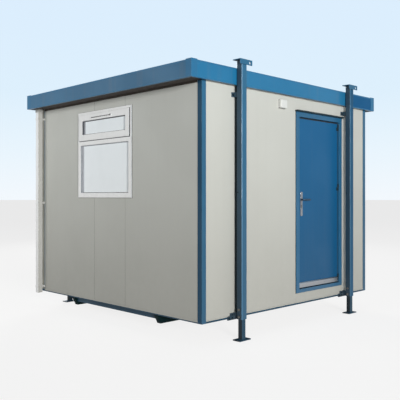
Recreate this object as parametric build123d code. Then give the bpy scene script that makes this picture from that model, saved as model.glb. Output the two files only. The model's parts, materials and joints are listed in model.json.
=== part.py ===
from build123d import *
import os

# Portable jack-leg site cabin, in millimetres. +Z is up, -Y is the door side, -X is the window end.
# The origin lies on the ground under the middle of the roof; the feet stand at Z = 0.

# ---- driving dimensions ----
wall_length = 3120.0            # outside of the corner posts, along X
wall_depth = 3056.0             # outside of the corner posts, along Y
gutter_end_overhang = 194.0     # roof beyond the window end
plain_end_overhang = 131.0      # roof beyond the blank end
side_overhang = 52.0            # roof beyond the long sides

base_height = 217.0             # underside of the base rails
base_rail_height = 28.0
base_rail_width = 60.0
floor_joist_depth = 110.0
floor_joist_width = 45.0
floor_joist_bays = 6
floor_thickness = 25.0
post_size = 60.0
post_wall = 3.0
panel_thickness = 50.0
panel_setback = 4.0             # wall panels lie this far behind the faces of the posts
panel_joint = 2.0               # open joint between neighbouring panels
end_middle_panel_width = 604.0
end_middle_panel_offset = 16.0  # middle of the window end's narrow panel, from the wall's middle

skid_height = 105.0
skid_width = 55.0
skid_inset = 700.0              # long side of the cabin to the skid
skid_end_inset = 12.0
skid_nose_length = 55.0
cross_member_height = 70.0
cross_member_width = 50.0
cross_member_inset = 60.0

roof_joist_depth = 95.0
roof_joist_width = 45.0
roof_joist_bays = 5
roof_deck_thickness = 25.0
ceiling_thickness = 12.0
fascia_height = 172.0
fascia_thickness = 25.0
fascia_drop = 11.0              # fascia below the underside of the roof joists
soffit_thickness = 12.0
soffit_drop = 5.0               # soffit below the underside of the roof joists
gutter_wall = 3.0
gutter_depth = 55.0

window_width = 1065.0
window_height = 1045.0
window_offset = 114.0           # middle of the window, from the middle of the end wall
window_head_height = 139.0      # window frame to the roof joists
window_face = 58.0              # width of the frame's profile
window_proud = 14.0
window_inside = 6.0
transom_height = 54.0
sash_height = 322.0
sash_face = 75.0
sash_depth = 34.0
sash_proud = 10.0               # sash beyond the frame
glass_thickness = 24.0
glass_recess = 22.0

door_frame_width = 966.0
door_frame_height = 2133.0
door_frame_left = 1555.0        # front left corner to the frame
door_frame_face = 58.0
door_frame_sill = 45.0
door_frame_proud = 15.0
door_frame_depth = 85.0
door_stop = 12.0                # lip that the leaf closes on
door_head_height = 172.0        # door frame to the roof joists
door_gap = 4.0                  # round the leaf
leaf_recess = 25.0
leaf_thickness = 44.0
drip_height = 18.0
drip_depth = 42.0
drip_side = 12.0
weather_bar_height = 60.0
weather_bar_depth = 22.0
weather_bar_lift = 8.0
weather_bar_hinge_gap = 32.0    # bar's end to the leaf's hinged edge, so that it turns clear of the jamb

hinge_radius = 8.0
hinge_pin_radius = 3.5
hinge_height = 80.0
hinge_clearance = 0.05
hinge_gap = 0.5                 # between the two halves of a hinge
hinge_plate = 3.0
hinge_inset = 6.0               # hinge axis to the leaf's edge
hinge_standoff = 9.5            # hinge axis to the leaf's face
hinge_leaf_width = 24.0
hinge_end_offset = 20.0

handle_plate_width = 42.0
handle_plate_height = 285.0
handle_plate_thickness = 8.0
handle_backset = 58.0           # leaf's edge to the spindle
handle_height = 1048.0          # leaf's lower edge to the spindle
handle_plate_above = 92.0       # spindle to the plate's top
neck_radius = 9.0
neck_clearance = 0.3
neck_length = 40.0
neck_seat = 4.0                 # neck's end to the leaf's face
spindle_radius = 4.0
spindle_hole_radius = 12.0
lever_length = 135.0
lever_height = 18.0
lever_thickness = 12.0

light_width = 116.0
light_height = 102.0
light_depth = 55.0
light_gap = 224.0               # lamp to the door frame
light_drop = 68.0               # underside of the roof joists to the lamp
light_corner = 6.0

pipe_size = 65.0
pipe_wall = 2.5
pipe_standoff = 34.0
pipe_hole_clearance = 0.3       # pipe to the edge of its hole in the soffit
pipe_bottom = 12.0              # below the underside of the base rails
clip_height = 25.0
clip_thickness = 3.0
clip_plate_width = 72.0         # back corner to the far end of the clip's plate
clip_rise = 66.0                # underside of the base rails to the middle of the lowest clip
clip_drop = 136.0               # underside of the roof joists to the middle of the highest clip

leg_left = 492.0                # left corner to the legs there
leg_door_gap = 47.0             # door frame to the middle of the legs beside it
sleeve_width = 80.0             # along X
sleeve_depth = 68.0
sleeve_wall = 4.0
sleeve_corner = 6.0
sleeve_clearance = 8.0          # roof edge to the sleeve
guide_height = 60.0
guide_clearance = 0.5
leg_size = 56.0
leg_wall = 4.0
leg_corner = 5.0
leg_length = 2200.0
foot_width = 176.0              # along X
foot_depth = 104.0
foot_thickness = 10.0
foot_corner = 8.0
spine_thickness = 20.0          # upright between the wall and the sleeve
spine_foot = 60.0               # underside of the base rails to the spine
lift_rise = 89.0                # roof's edge to the top of the lifting brackets
lift_left = 70.0                # leg's middle to the bracket's left end
lift_right = 118.0
lift_depth = 106.0
lift_drop = 54.0
lift_thickness = 8.0
lift_hole_radius = 14.0
lift_hole_end = 36.0            # bracket's right end to the hole
lift_hole_drop = 31.0
bracket_plate = 6.0
upper_bracket_height = 50.0
upper_bracket_drop = 82.0       # underside of the roof joists to the bracket
upper_bracket_left = 56.0       # leg's middle to the plate's left end
bracket_right = 50.0
lower_bracket_left = 126.0
lower_bracket_depth = 16.0
lower_bracket_drop = 12.0       # plate below the underside of the base rails
lug_left = 84.0
lug_width = 44.0
lug_height = 58.0
lug_thickness = 12.0
bracket_post = 56.0
screw_radius = 8.0
screw_head_radius = 14.0
screw_head = 12.0
screw_rise = 26.0               # lower end of the sleeve to the lower screw
screw_pitch = 74.0
screw_clearance = 0.3
cap_width = 80.0                # covers over the corners of the fascias
cap_thickness = 2.0
cap_rise = 8.0

# ---- places that follow from them ----
roof_length = wall_length + gutter_end_overhang + plain_end_overhang
roof_depth = wall_depth + 2 * side_overhang
left = -roof_length / 2 + gutter_end_overhang
right = left + wall_length
front = -wall_depth / 2
back = wall_depth / 2
panel_bottom = base_height + base_rail_height
floor_top = base_height + floor_joist_depth + floor_thickness
door_bottom = floor_top
door_top = door_bottom + door_frame_height
wall_top = door_top + door_head_height
panel_left = left + panel_setback
panel_right = right - panel_setback
panel_front = front + panel_setback
panel_back = back - panel_setback
inner_left = panel_left + panel_thickness
inner_right = panel_right - panel_thickness
inner_front = panel_front + panel_thickness
inner_back = panel_back - panel_thickness
fascia_bottom = wall_top - fascia_drop
fascia_top = fascia_bottom + fascia_height
lift_top = fascia_top + lift_rise
sleeve_top = lift_top - lift_thickness
leg_standoff = side_overhang + sleeve_clearance
screw_heights = (base_height + screw_rise, base_height + screw_rise + screw_pitch)
leg_front = front - leg_standoff - sleeve_depth / 2
leg_back = back + leg_standoff + sleeve_depth / 2

door_left = left + door_frame_left
door_right = door_left + door_frame_width
leg_places = {
    "front_left": (left + leg_left, leg_front, -1),
    "front_right": (door_right + leg_door_gap, leg_front, -1),
    "back_left": (left + leg_left, leg_back, 1),
    "back_right": (door_right + leg_door_gap, leg_back, 1),
}
door_front = panel_front - door_frame_proud
leaf_left = door_left + door_frame_face + door_gap
leaf_right = door_right - door_frame_face - door_gap
leaf_bottom = door_bottom + door_frame_sill + door_gap
leaf_top = door_top - door_frame_face - door_gap
leaf_front = door_front + leaf_recess
leaf_back = leaf_front + leaf_thickness
hinge_x = leaf_right - hinge_inset
hinge_y = leaf_front - hinge_standoff
spindle_x = leaf_left + handle_backset
spindle_z = leaf_bottom + handle_height

window_front_y = window_offset - window_width / 2
window_back_y = window_offset + window_width / 2
window_top = wall_top - window_head_height
window_bottom = window_top - window_height


def block(x0, x1, y0, y1, z0, z1):
    """A box between two corners."""
    return Pos(x0, y0, z0) * Box(x1 - x0, y1 - y0, z1 - z0, align=(Align.MIN, Align.MIN, Align.MIN))


def corner_box(xa, xb, ya, yb, z0, z1):
    """A box between two plan corners given in any order."""
    return block(min(xa, xb), max(xa, xb), min(ya, yb), max(ya, yb), z0, z1)


def bar(x, y, z0, z1, width, depth, corner=0.0):
    """An upright bar, with its long edges rounded where a corner radius is given."""
    solid = block(x - width / 2, x + width / 2, y - depth / 2, y + depth / 2, z0, z1)
    if corner > 0:
        solid = fillet(solid.edges().filter_by(Axis.Z), corner)
    return solid


def square_bar(x, y, z0, z1, size, corner=0.0):
    return bar(x, y, z0, z1, size, size, corner)


def rod_y(x, y0, y1, z, radius):
    """A round bar along Y."""
    return Pos(x, y0, z) * Rot(-90, 0, 0) * Cylinder(radius, y1 - y0, align=(Align.CENTER, Align.CENTER, Align.MIN))


def rod_x(x0, x1, y, z, radius):
    """A round bar along X."""
    return Pos(x0, y, z) * Rot(0, 90, 0) * Cylinder(radius, x1 - x0, align=(Align.CENTER, Align.CENTER, Align.MIN))


def rod_z(x, y, z0, z1, radius):
    """A round bar along Z."""
    return Pos(x, y, z0) * Cylinder(radius, z1 - z0, align=(Align.CENTER, Align.CENTER, Align.MIN))


def spread(start, end, bays, width):
    """Left edges of bars of one width, evenly spaced, with a bar at each end."""
    return [start + i * (end - start - width) / bays for i in range(bays + 1)]


# ---- chassis and floor ----
def base_side_rails():
    span = (left + post_size, right - post_size)
    return [block(*span, y, y + base_rail_width, base_height, panel_bottom) for y in (front, back - base_rail_width)]


def base_end_rails():
    span = (front + post_size, back - post_size)
    return [block(x, x + base_rail_width, *span, base_height, panel_bottom) for x in (left, right - base_rail_width)]


def floor_joists():
    ends = (front + base_rail_width, back - base_rail_width)
    starts = spread(left + base_rail_width, right - base_rail_width, floor_joist_bays, floor_joist_width)
    top = base_height + floor_joist_depth
    return [block(x, x + floor_joist_width, *ends, base_height, top) for x in starts]


def indoor_sheet(z0, z1):
    """A sheet from wall to wall, notched round the corner posts."""
    sheet = block(inner_left, inner_right, inner_front, inner_back, z0, z1)
    for x in (left, right - post_size):
        for y in (front, back - post_size):
            sheet -= block(x, x + post_size, y, y + post_size, z0, z1)
    return sheet


def floor_deck():
    return [indoor_sheet(floor_top - floor_thickness, floor_top)]


def skid(y0):
    x0 = left + skid_end_inset
    x1 = right - skid_end_inset
    z0 = base_height - skid_height
    side = Plane.XZ * Polygon((x0, base_height), (x0 + skid_nose_length, z0),
                              (x1 - skid_nose_length, z0), (x1, base_height), align=None)
    return Pos(0, y0 + skid_width, 0) * extrude(side, skid_width)


def skids():
    return [skid(front + skid_inset), skid(back - skid_inset - skid_width)]


def end_cross_members():
    ends = (front + skid_inset + skid_width, back - skid_inset - skid_width)
    starts = (left + cross_member_inset, right - cross_member_inset - cross_member_width)
    return [block(x, x + cross_member_width, *ends, base_height - cross_member_height, base_height) for x in starts]


# ---- walls ----
def corner_post(x0, y0):
    outside = block(x0, x0 + post_size, y0, y0 + post_size, base_height, wall_top)
    inside = block(x0 + post_wall, x0 + post_size - post_wall, y0 + post_wall, y0 + post_size - post_wall,
                   base_height, wall_top)
    return outside - inside


def corner_posts():
    return [corner_post(x, y) for x in (left, right - post_size) for y in (front, back - post_size)]


def front_wall_panel(x0, x1):
    return block(x0, x1, panel_front, inner_front, panel_bottom, wall_top)


def front_wall_left_panel():
    return [front_wall_panel(left + post_size, door_left)]


def front_wall_right_panel():
    return [front_wall_panel(door_right, right - post_size)]


def front_wall_door_panels():
    wall = front_wall_panel(door_left, door_right)
    doorway = block(door_left, door_right, panel_front, inner_front, door_bottom, door_top)
    return list((wall - doorway).solids())


def end_wall_panels(x0, x1):
    """The three panels of an end wall, with an open joint at each side of the narrow one."""
    joint_front = end_middle_panel_offset - end_middle_panel_width / 2
    joint_back = end_middle_panel_offset + end_middle_panel_width / 2
    half = panel_joint / 2
    spans = [(front + post_size, joint_front - half), (joint_front + half, joint_back - half),
             (joint_back + half, back - post_size)]
    return [block(x0, x1, y0, y1, panel_bottom, wall_top) for y0, y1 in spans]


def window_end_panel(index):
    panel = end_wall_panels(panel_left, inner_left)[index]
    opening = block(panel_left, inner_left, window_front_y, window_back_y, window_bottom, window_top)
    return list((panel - opening).solids())


def left_wall_front_panel():
    return window_end_panel(0)


def left_wall_middle_panel():
    return window_end_panel(1)


def left_wall_back_panel():
    return window_end_panel(2)


def right_wall():
    return end_wall_panels(inner_right, panel_right)


def back_wall():
    start = left + post_size
    width = (wall_length - 2 * post_size - 2 * panel_joint) / 3
    starts = [start + i * (width + panel_joint) for i in range(3)]
    return [block(x, x + width, inner_back, panel_back, panel_bottom, wall_top) for x in starts]


# ---- roof ----
def side_fascias():
    ends = (-roof_length / 2 + fascia_thickness, roof_length / 2 - fascia_thickness)
    starts = (-roof_depth / 2, roof_depth / 2 - fascia_thickness)
    return [block(*ends, y, y + fascia_thickness, fascia_bottom, fascia_top) for y in starts]


def end_fascias():
    ends = (-roof_depth / 2, roof_depth / 2)
    starts = (-roof_length / 2, roof_length / 2 - fascia_thickness)
    return [block(x, x + fascia_thickness, *ends, fascia_bottom, fascia_top) for x in starts]


def fascia_corner_caps():
    """A thin cover folded round each outer corner of the fascias and over their top edge."""
    caps = []
    for x_side in (-1, 1):
        for y_side in (-1, 1):
            x = x_side * roof_length / 2
            y = y_side * roof_depth / 2
            reach_x = x + x_side * cap_thickness
            reach_y = y + y_side * cap_thickness
            inner_x = x - x_side * fascia_thickness
            inner_y = y - y_side * fascia_thickness
            end_x = x - x_side * cap_width
            end_y = y - y_side * cap_width
            cap = corner_box(reach_x, end_x, reach_y, end_y, fascia_bottom, fascia_top + cap_rise)
            cap -= corner_box(x, end_x, y, end_y, fascia_bottom, fascia_top)
            cap -= corner_box(inner_x, end_x, inner_y, end_y, fascia_top, fascia_top + cap_rise)
            caps.append(cap)
    return caps


def soffits():
    """Boards under the overhangs: full depth at the ends, and between those along the sides."""
    z = (wall_top - soffit_drop, wall_top - soffit_drop + soffit_thickness)
    x0 = -roof_length / 2 + fascia_thickness
    x1 = roof_length / 2 - fascia_thickness
    y0 = -roof_depth / 2 + fascia_thickness
    y1 = roof_depth / 2 - fascia_thickness
    sides = [block(panel_left + panel_joint, panel_right - panel_joint, *span, *z)
             for span in ((y0, front), (back, y1))]
    pipe_hole = square_bar(*pipe_middle(), *z, pipe_size + 2 * pipe_hole_clearance)
    return [block(x0, left, y0, y1, *z) - pipe_hole, block(right, x1, y0, y1, *z)] + sides


def roof_joists():
    ends = (-roof_depth / 2 + fascia_thickness, roof_depth / 2 - fascia_thickness)
    low = wall_top - soffit_drop + soffit_thickness
    joists = []
    for x in spread(left, right, roof_joist_bays, roof_joist_width):
        joist = block(x, x + roof_joist_width, *ends, wall_top, wall_top + roof_joist_depth)
        ledges = block(x, x + roof_joist_width, ends[0], front, wall_top, low)
        ledges += block(x, x + roof_joist_width, back, ends[1], wall_top, low)
        joists.append(joist - ledges)
    return joists


def roof_deck():
    z0 = wall_top + roof_joist_depth
    edge = roof_depth / 2 - fascia_thickness
    return [block(left, roof_length / 2 - fascia_thickness, -edge, edge, z0, z0 + roof_deck_thickness)]


def ceiling():
    return [indoor_sheet(wall_top - ceiling_thickness, wall_top)]


def roof_gutter():
    x0 = -roof_length / 2 + fascia_thickness
    edge = roof_depth / 2 - fascia_thickness
    top = wall_top + roof_joist_depth
    bottom = top - gutter_depth
    trough = block(x0, left, -edge, edge, bottom, top)
    trough -= block(x0 + gutter_wall, left - gutter_wall, -edge, edge, bottom + gutter_wall, top)
    outlet = square_bar(*pipe_middle(), bottom, bottom + gutter_wall, pipe_size - 2 * pipe_wall)
    return [trough - outlet]


# ---- window ----
def window_frame():
    x0 = panel_left - window_proud
    x1 = inner_left + window_inside
    outside = block(x0, x1, window_front_y, window_back_y, window_bottom, window_top)
    y0 = window_front_y + window_face
    y1 = window_back_y - window_face
    vent_bottom = window_top - window_face / 2 - sash_height
    lower = block(x0, x1, y0, y1, window_bottom + window_face, vent_bottom - transom_height)
    upper = block(x0, x1, y0, y1, vent_bottom, window_top - window_face)
    rebate = block(x0, x0 + sash_depth - sash_proud, y0 - window_face / 2, y1 + window_face / 2,
                   vent_bottom, vent_bottom + sash_height)
    return [outside - lower - upper - rebate]


def sash_box(margin=0.0):
    """Y and Z limits of the vent sash, or of its glass with the margin of its profile."""
    gap = panel_joint
    vent_bottom = window_top - window_face / 2 - sash_height
    return (window_front_y + window_face / 2 + gap + margin, window_back_y - window_face / 2 - gap - margin,
            vent_bottom + gap + margin, vent_bottom + sash_height - gap - margin)


def window_vent_sash():
    x0 = panel_left - window_proud - sash_proud
    return [block(x0, x0 + sash_depth, *sash_box()) - block(x0, x0 + sash_depth, *sash_box(sash_face))]


def window_glass():
    x0 = panel_left - window_proud
    y0 = window_front_y + window_face
    y1 = window_back_y - window_face
    lower_top = window_top - window_face / 2 - sash_height - transom_height
    lower = block(x0 + glass_recess, x0 + glass_recess + glass_thickness, y0, y1,
                  window_bottom + window_face, lower_top)
    sash_glass = sash_depth - glass_recess
    sash_front = x0 - sash_proud + glass_recess
    upper = block(sash_front, sash_front + sash_glass, *sash_box(sash_face))
    return [lower, upper]


# ---- door ----
def door_frame():
    y0 = door_front
    y1 = door_front + door_frame_depth
    outside = block(door_left, door_right, y0, y1, door_bottom, door_top)
    rebate = block(leaf_left - door_gap, leaf_right + door_gap, y0, leaf_back + door_gap,
                   leaf_bottom - door_gap, leaf_top + door_gap)
    stop = door_gap + door_stop
    clear = block(leaf_left - door_gap + stop, leaf_right + door_gap - stop, y0, y1,
                  leaf_bottom - door_gap, leaf_top + door_gap - stop)
    return [outside - rebate - clear]


def door_drip_strip():
    return [block(door_left - drip_side, door_right + drip_side, panel_front - drip_depth, panel_front,
                  door_top, door_top + drip_height)]


def door_leaf():
    leaf = block(leaf_left, leaf_right, leaf_front, leaf_back, leaf_bottom, leaf_top)
    return [leaf - rod_y(spindle_x, leaf_front, leaf_back, spindle_z, spindle_hole_radius)]


def door_weather_bar():
    z0 = leaf_bottom + weather_bar_lift
    strip = block(leaf_left, leaf_right - weather_bar_hinge_gap, leaf_front - weather_bar_depth, leaf_front,
                  z0, z0 + weather_bar_height)
    outer_top = strip.edges().filter_by(Axis.X).group_by(Axis.Z)[-1].sort_by(Axis.Y)[0]
    return [chamfer(outer_top, weather_bar_depth / 2)]


def hinge_levels():
    """Lower ends of the three hinges."""
    low = leaf_bottom + hinge_end_offset
    high = leaf_top - hinge_end_offset - hinge_height
    return (low, low + (high - low) * 0.6, high)


def door_leaf_hinges():
    hinges = []
    for z in hinge_levels():
        middle = z + hinge_height / 2 - hinge_gap / 2
        plate_y = leaf_front - hinge_plate
        half = rod_z(hinge_x, hinge_y, z, middle, hinge_radius)
        half += block(hinge_x - hinge_leaf_width, hinge_x, plate_y, leaf_front, z, middle)
        half -= rod_z(hinge_x, hinge_y, z, middle, hinge_pin_radius + hinge_clearance)
        hinges.append(half)
    return hinges


def door_frame_hinges():
    hinges = []
    jamb = leaf_right + door_gap
    for z in hinge_levels():
        top = z + hinge_height
        middle = z + hinge_height / 2 + hinge_gap / 2
        half = rod_z(hinge_x, hinge_y, middle, top, hinge_radius)
        half += block(hinge_x, jamb, hinge_y - hinge_radius, hinge_y - hinge_radius + hinge_plate, middle, top)
        half += rod_z(hinge_x, hinge_y, z + hinge_gap, middle, hinge_pin_radius)
        hinges.append(half)
    return hinges


def door_handle_plates():
    x0 = spindle_x - handle_plate_width / 2
    z1 = spindle_z + handle_plate_above
    plates = []
    for y0 in (leaf_front - handle_plate_thickness, leaf_back):
        y1 = y0 + handle_plate_thickness
        plate = block(x0, x0 + handle_plate_width, y0, y1, z1 - handle_plate_height, z1)
        plate = fillet(plate.edges().filter_by(Axis.Y), handle_plate_width / 4)
        plates.append(plate - rod_y(spindle_x, y0, y1, spindle_z, neck_radius + neck_clearance))
    return plates


def door_lever():
    """Both levers with their necks and the spindle between them."""
    lever = rod_y(spindle_x, leaf_front - neck_length, leaf_back + neck_length, spindle_z, spindle_radius)
    for neck_start, neck_end, grip_start in (
            (leaf_front - neck_length, leaf_front - neck_seat, leaf_front - neck_length - lever_thickness / 2),
            (leaf_back + neck_seat, leaf_back + neck_length, leaf_back + neck_length - lever_thickness / 2)):
        lever += rod_y(spindle_x, neck_start, neck_end, spindle_z, neck_radius)
        grip = block(spindle_x - lever_height / 2, spindle_x + lever_length, grip_start,
                     grip_start + lever_thickness, spindle_z - lever_height / 2, spindle_z + lever_height / 2)
        lever += fillet(grip.edges().filter_by(Axis.Y), lever_height * 0.45)
    return [lever]


# ---- fittings on the walls ----
def wall_light():
    x0 = door_left - light_gap - light_width
    z1 = wall_top - light_drop
    housing = block(x0, x0 + light_width, panel_front - light_depth, panel_front, z1 - light_height, z1)
    return [fillet(housing.edges().filter_by(Axis.Y), light_corner)]


def pipe_middle():
    return left - pipe_standoff - pipe_size / 2, back - pipe_size / 2


def downpipe():
    x, y = pipe_middle()
    z0 = base_height - pipe_bottom
    z1 = wall_top + roof_joist_depth - gutter_depth
    return [square_bar(x, y, z0, z1, pipe_size, pipe_wall * 2) - square_bar(x, y, z0, z1, pipe_size - 2 * pipe_wall)]


def downpipe_clips():
    """A strap round the pipe with an arm and a plate on the corner post, at each level."""
    x, y = pipe_middle()
    low = base_height + clip_rise
    high = wall_top - clip_drop
    clips = []
    for middle in (low, (low + high) / 2, high):
        z0 = middle - clip_height / 2
        z1 = middle + clip_height / 2
        strap = square_bar(x, y, z0, z1, pipe_size + 2 * clip_thickness)
        strap += block(x + pipe_size / 2, left, y - pipe_size / 4, y + pipe_size / 4, z0, z1)
        strap += block(left - clip_thickness, left, back - clip_plate_width, back, z0, z1)
        clips.append(strap - square_bar(x, y, z0, z1, pipe_size, pipe_wall * 2))
    return clips


# ---- jack legs ----
def leg_sleeve(x, y):
    z0 = base_height
    tube = bar(x, y, z0, sleeve_top, sleeve_width, sleeve_depth, sleeve_corner)
    guide = square_bar(x, y, z0, sleeve_top, leg_size + 2 * guide_clearance, leg_corner)
    wide = bar(x, y, z0 + guide_height, sleeve_top - guide_height,
               sleeve_width - 2 * sleeve_wall, sleeve_depth - 2 * sleeve_wall)
    tube = tube - guide - wide
    for z in screw_heights:
        tube -= rod_x(x - sleeve_width / 2, x - leg_size / 2, y, z, screw_radius)
    return tube


def leg_sleeves():
    return [leg_sleeve(x, y) for x, y, side in leg_places.values()]


def outward(x0, x1, side, near, far, z0, z1):
    """A box on a long side of the cabin, between two distances out from the posts' faces."""
    y0, y1 = sorted((side * (wall_depth / 2 + near), side * (wall_depth / 2 + far)))
    return block(x0, x1, y0, y1, z0, z1)


def leg_spines():
    """An upright from the wall panel to the sleeve, from the lower bracket to the upper one."""
    z0 = base_height + spine_foot
    z1 = wall_top - upper_bracket_drop - upper_bracket_height
    return [outward(x, x + spine_thickness, side, -panel_setback, leg_standoff, z0, z1)
            for x, y, side in leg_places.values()]


def upper_leg_bracket(x, side):
    z1 = wall_top - upper_bracket_drop
    z0 = z1 - upper_bracket_height
    near = -panel_setback
    plate = outward(x - upper_bracket_left, x + bracket_right, side, near, near + bracket_plate, z0, z1)
    stub = outward(x - bracket_post / 2, x + bracket_post / 2, side, near, leg_standoff, z0, z1)
    return plate + stub


def lower_leg_bracket(x, side):
    z0 = base_height
    z1 = panel_bottom
    plate = outward(x - lower_bracket_left, x + bracket_right, side, 0, lower_bracket_depth,
                    z0 - lower_bracket_drop, z1)
    stub = outward(x - bracket_post / 2, x + bracket_post / 2, side, 0, leg_standoff, z0, z0 + spine_foot)
    lug = outward(x - lug_left, x - lug_left + lug_width, side, 0, lug_thickness, z0, z0 + lug_height)
    return plate + stub + lug


def leg_brackets():
    places = [(x, side) for x, y, side in leg_places.values()]
    return [upper_leg_bracket(*place) for place in places] + [lower_leg_bracket(*place) for place in places]


def leg_locking_screws():
    screws = []
    for x, y, side in leg_places.values():
        for z in screw_heights:
            outside = x - sleeve_width / 2
            tip = x - leg_size / 2 - screw_clearance
            shank = rod_x(outside, tip, y, z, screw_radius)
            head = rod_x(outside - screw_head, outside, y, z, screw_head_radius)
            screws.append(shank + head)
    return screws


def lifting_bracket(x, y, side):
    """An angle over the top of a sleeve with an eye in its upright flange."""
    x0 = x - lift_left
    x1 = x + lift_right
    near = leg_standoff + sleeve_depth
    face = near + lift_thickness
    top = outward(x0, x1, side, face - lift_depth, face, lift_top - lift_thickness, lift_top)
    upright = outward(x0, x1, side, near, face, lift_top - lift_drop, lift_top)
    y0, y1 = sorted((side * (wall_depth / 2 + near), side * (wall_depth / 2 + face)))
    return top + upright - rod_y(x1 - lift_hole_end, y0, y1, lift_top - lift_hole_drop, lift_hole_radius)


def lifting_brackets():
    return [lifting_bracket(*place) for place in leg_places.values()]


def jack_leg(place):
    x, y, side = leg_places[place]
    z0 = foot_thickness
    tube = square_bar(x, y, z0, leg_length, leg_size, leg_corner)
    tube -= square_bar(x, y, z0, leg_length, leg_size - 2 * leg_wall)
    return tube + bar(x, y, 0, foot_thickness, foot_width, foot_depth, foot_corner)


nodes = {function.__name__: function for function in (
    base_side_rails, base_end_rails, floor_joists, floor_deck, skids, end_cross_members, corner_posts,
    front_wall_left_panel, front_wall_right_panel, front_wall_door_panels, left_wall_front_panel,
    left_wall_middle_panel, left_wall_back_panel, right_wall, back_wall, side_fascias, end_fascias, soffits,
    roof_joists, roof_deck, ceiling, roof_gutter, window_frame, window_vent_sash, window_glass, door_frame,
    door_drip_strip, door_leaf, door_weather_bar, door_leaf_hinges, door_frame_hinges, door_handle_plates,
    door_lever, wall_light, downpipe, downpipe_clips, leg_sleeves, leg_spines, leg_brackets,
    leg_locking_screws, lifting_brackets, fascia_corner_caps)}

os.makedirs("parts", exist_ok=True)
for name, make in nodes.items():
    solids = make()
    export_step(solids[0] if len(solids) == 1 else Compound(children=solids), f"parts/{name}.step")
for place in leg_places:
    export_step(jack_leg(place), f"parts/jack_leg_{place}.step")
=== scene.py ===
import json
import math

import bmesh
import bpy
from mathutils import Matrix, Vector

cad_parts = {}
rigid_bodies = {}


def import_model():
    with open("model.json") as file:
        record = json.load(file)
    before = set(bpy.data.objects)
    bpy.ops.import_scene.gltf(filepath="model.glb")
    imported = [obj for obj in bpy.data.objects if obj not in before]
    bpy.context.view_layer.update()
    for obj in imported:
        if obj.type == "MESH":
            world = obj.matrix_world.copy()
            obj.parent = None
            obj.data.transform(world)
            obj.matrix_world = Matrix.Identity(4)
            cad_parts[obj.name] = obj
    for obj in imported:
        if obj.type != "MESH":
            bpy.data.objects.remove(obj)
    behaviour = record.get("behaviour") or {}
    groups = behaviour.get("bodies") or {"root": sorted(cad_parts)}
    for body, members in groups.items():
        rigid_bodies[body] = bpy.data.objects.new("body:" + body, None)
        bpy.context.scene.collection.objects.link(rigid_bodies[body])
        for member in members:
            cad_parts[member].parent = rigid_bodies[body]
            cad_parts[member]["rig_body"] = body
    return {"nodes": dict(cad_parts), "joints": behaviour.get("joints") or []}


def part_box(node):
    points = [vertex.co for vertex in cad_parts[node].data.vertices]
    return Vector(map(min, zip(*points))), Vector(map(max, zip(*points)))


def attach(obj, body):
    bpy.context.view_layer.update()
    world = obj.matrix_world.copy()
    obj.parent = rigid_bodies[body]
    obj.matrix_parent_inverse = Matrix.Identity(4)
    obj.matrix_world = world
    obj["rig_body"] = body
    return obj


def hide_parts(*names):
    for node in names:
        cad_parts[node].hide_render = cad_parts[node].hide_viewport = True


bl_info = {
    "name": "Portable site cabin",
    "version": (1, 0, 0),
    "blender": (4, 5, 0),
    "location": "3D View > Sidebar > Cabin",
    "description": "Finishes the packed model of a portable jack-leg site cabin",
    "category": "Object",
}

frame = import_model()

BODY_OF = {name: node["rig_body"] for name, node in frame["nodes"].items()}
LEGS = ("front_left", "front_right", "back_left", "back_right")
CORNERS = ((-1, -1), (-1, 1), (1, -1), (1, 1))      # left or right, then front or back
X, Y, Z = 0, 1, 2
BEVEL_LIMIT = math.radians(38)
FLAT_LIMIT = math.radians(1)
SAME_POINT = 1e-5
SUNK = 0.001             # how far an added shape reaches into what it lies on
SQUARE_ON = 0.9          # the least share of a normal along an axis for a face that looks that way


# ---- shapes ----
def block(bm, low, high):
    """A box between two corners, given in any order."""
    low, high = Vector(low), Vector(high)
    made = bmesh.ops.create_cube(bm, size=1.0)["verts"]
    bmesh.ops.scale(bm, vec=[abs(size) for size in high - low], verts=made)
    bmesh.ops.translate(bm, vec=(low + high) / 2, verts=made)


def turned_to(direction, place):
    """The matrix that turns +Z to a direction and moves the origin to a place."""
    turn = Vector((0, 0, 1)).rotation_difference(Vector(direction)).to_matrix().to_4x4()
    return Matrix.Translation(place) @ turn


def rod(bm, start, end, radius, sides=24):
    """A round or many-sided bar between two points."""
    start, end = Vector(start), Vector(end)
    made = bmesh.ops.create_cone(bm, cap_ends=True, segments=sides, radius1=radius, radius2=radius,
                                 depth=(end - start).length)["verts"]
    bmesh.ops.transform(bm, matrix=turned_to(end - start, (start + end) / 2), verts=made)


def dome(bm, base, normal, radius, height):
    """A low rounded head that sits in a surface."""
    made = bmesh.ops.create_uvsphere(bm, u_segments=16, v_segments=8, radius=radius)["verts"]
    bmesh.ops.scale(bm, vec=(1, 1, height / radius), verts=made)
    bmesh.ops.transform(bm, matrix=turned_to(normal, base), verts=made)


def draw_out(bm, faces, shift):
    """Extrudes faces by a shift and returns everything new."""
    drawn = bmesh.ops.extrude_face_region(bm, geom=faces)["geom"]
    bmesh.ops.translate(bm, vec=shift, verts=[item for item in drawn if isinstance(item, bmesh.types.BMVert)])
    return drawn


def ring(bm, low, high, width, axis):
    """A mitred frame round a rectangle across one axis: inset by its width, opened and drawn to its depth."""
    low, high = Vector(low), Vector(high)
    a, b = [i for i in (X, Y, Z) if i != axis]
    corners = []
    for along, up in ((0, 0), (1, 0), (1, 1), (0, 1)):
        point = low.copy()
        point[a] = (low, high)[along][a]
        point[b] = (low, high)[up][b]
        corners.append(bm.verts.new(point))
    outline = bm.faces.new(corners)
    outline.normal_update()
    sides = bmesh.ops.inset_region(bm, faces=[outline], thickness=width, use_even_offset=True,
                                   use_boundary=True)["faces"]
    bmesh.ops.delete(bm, geom=[outline], context="FACES_ONLY")
    depth = Vector((0, 0, 0))
    depth[axis] = high[axis] - low[axis]
    draw_out(bm, sides, depth)


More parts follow.
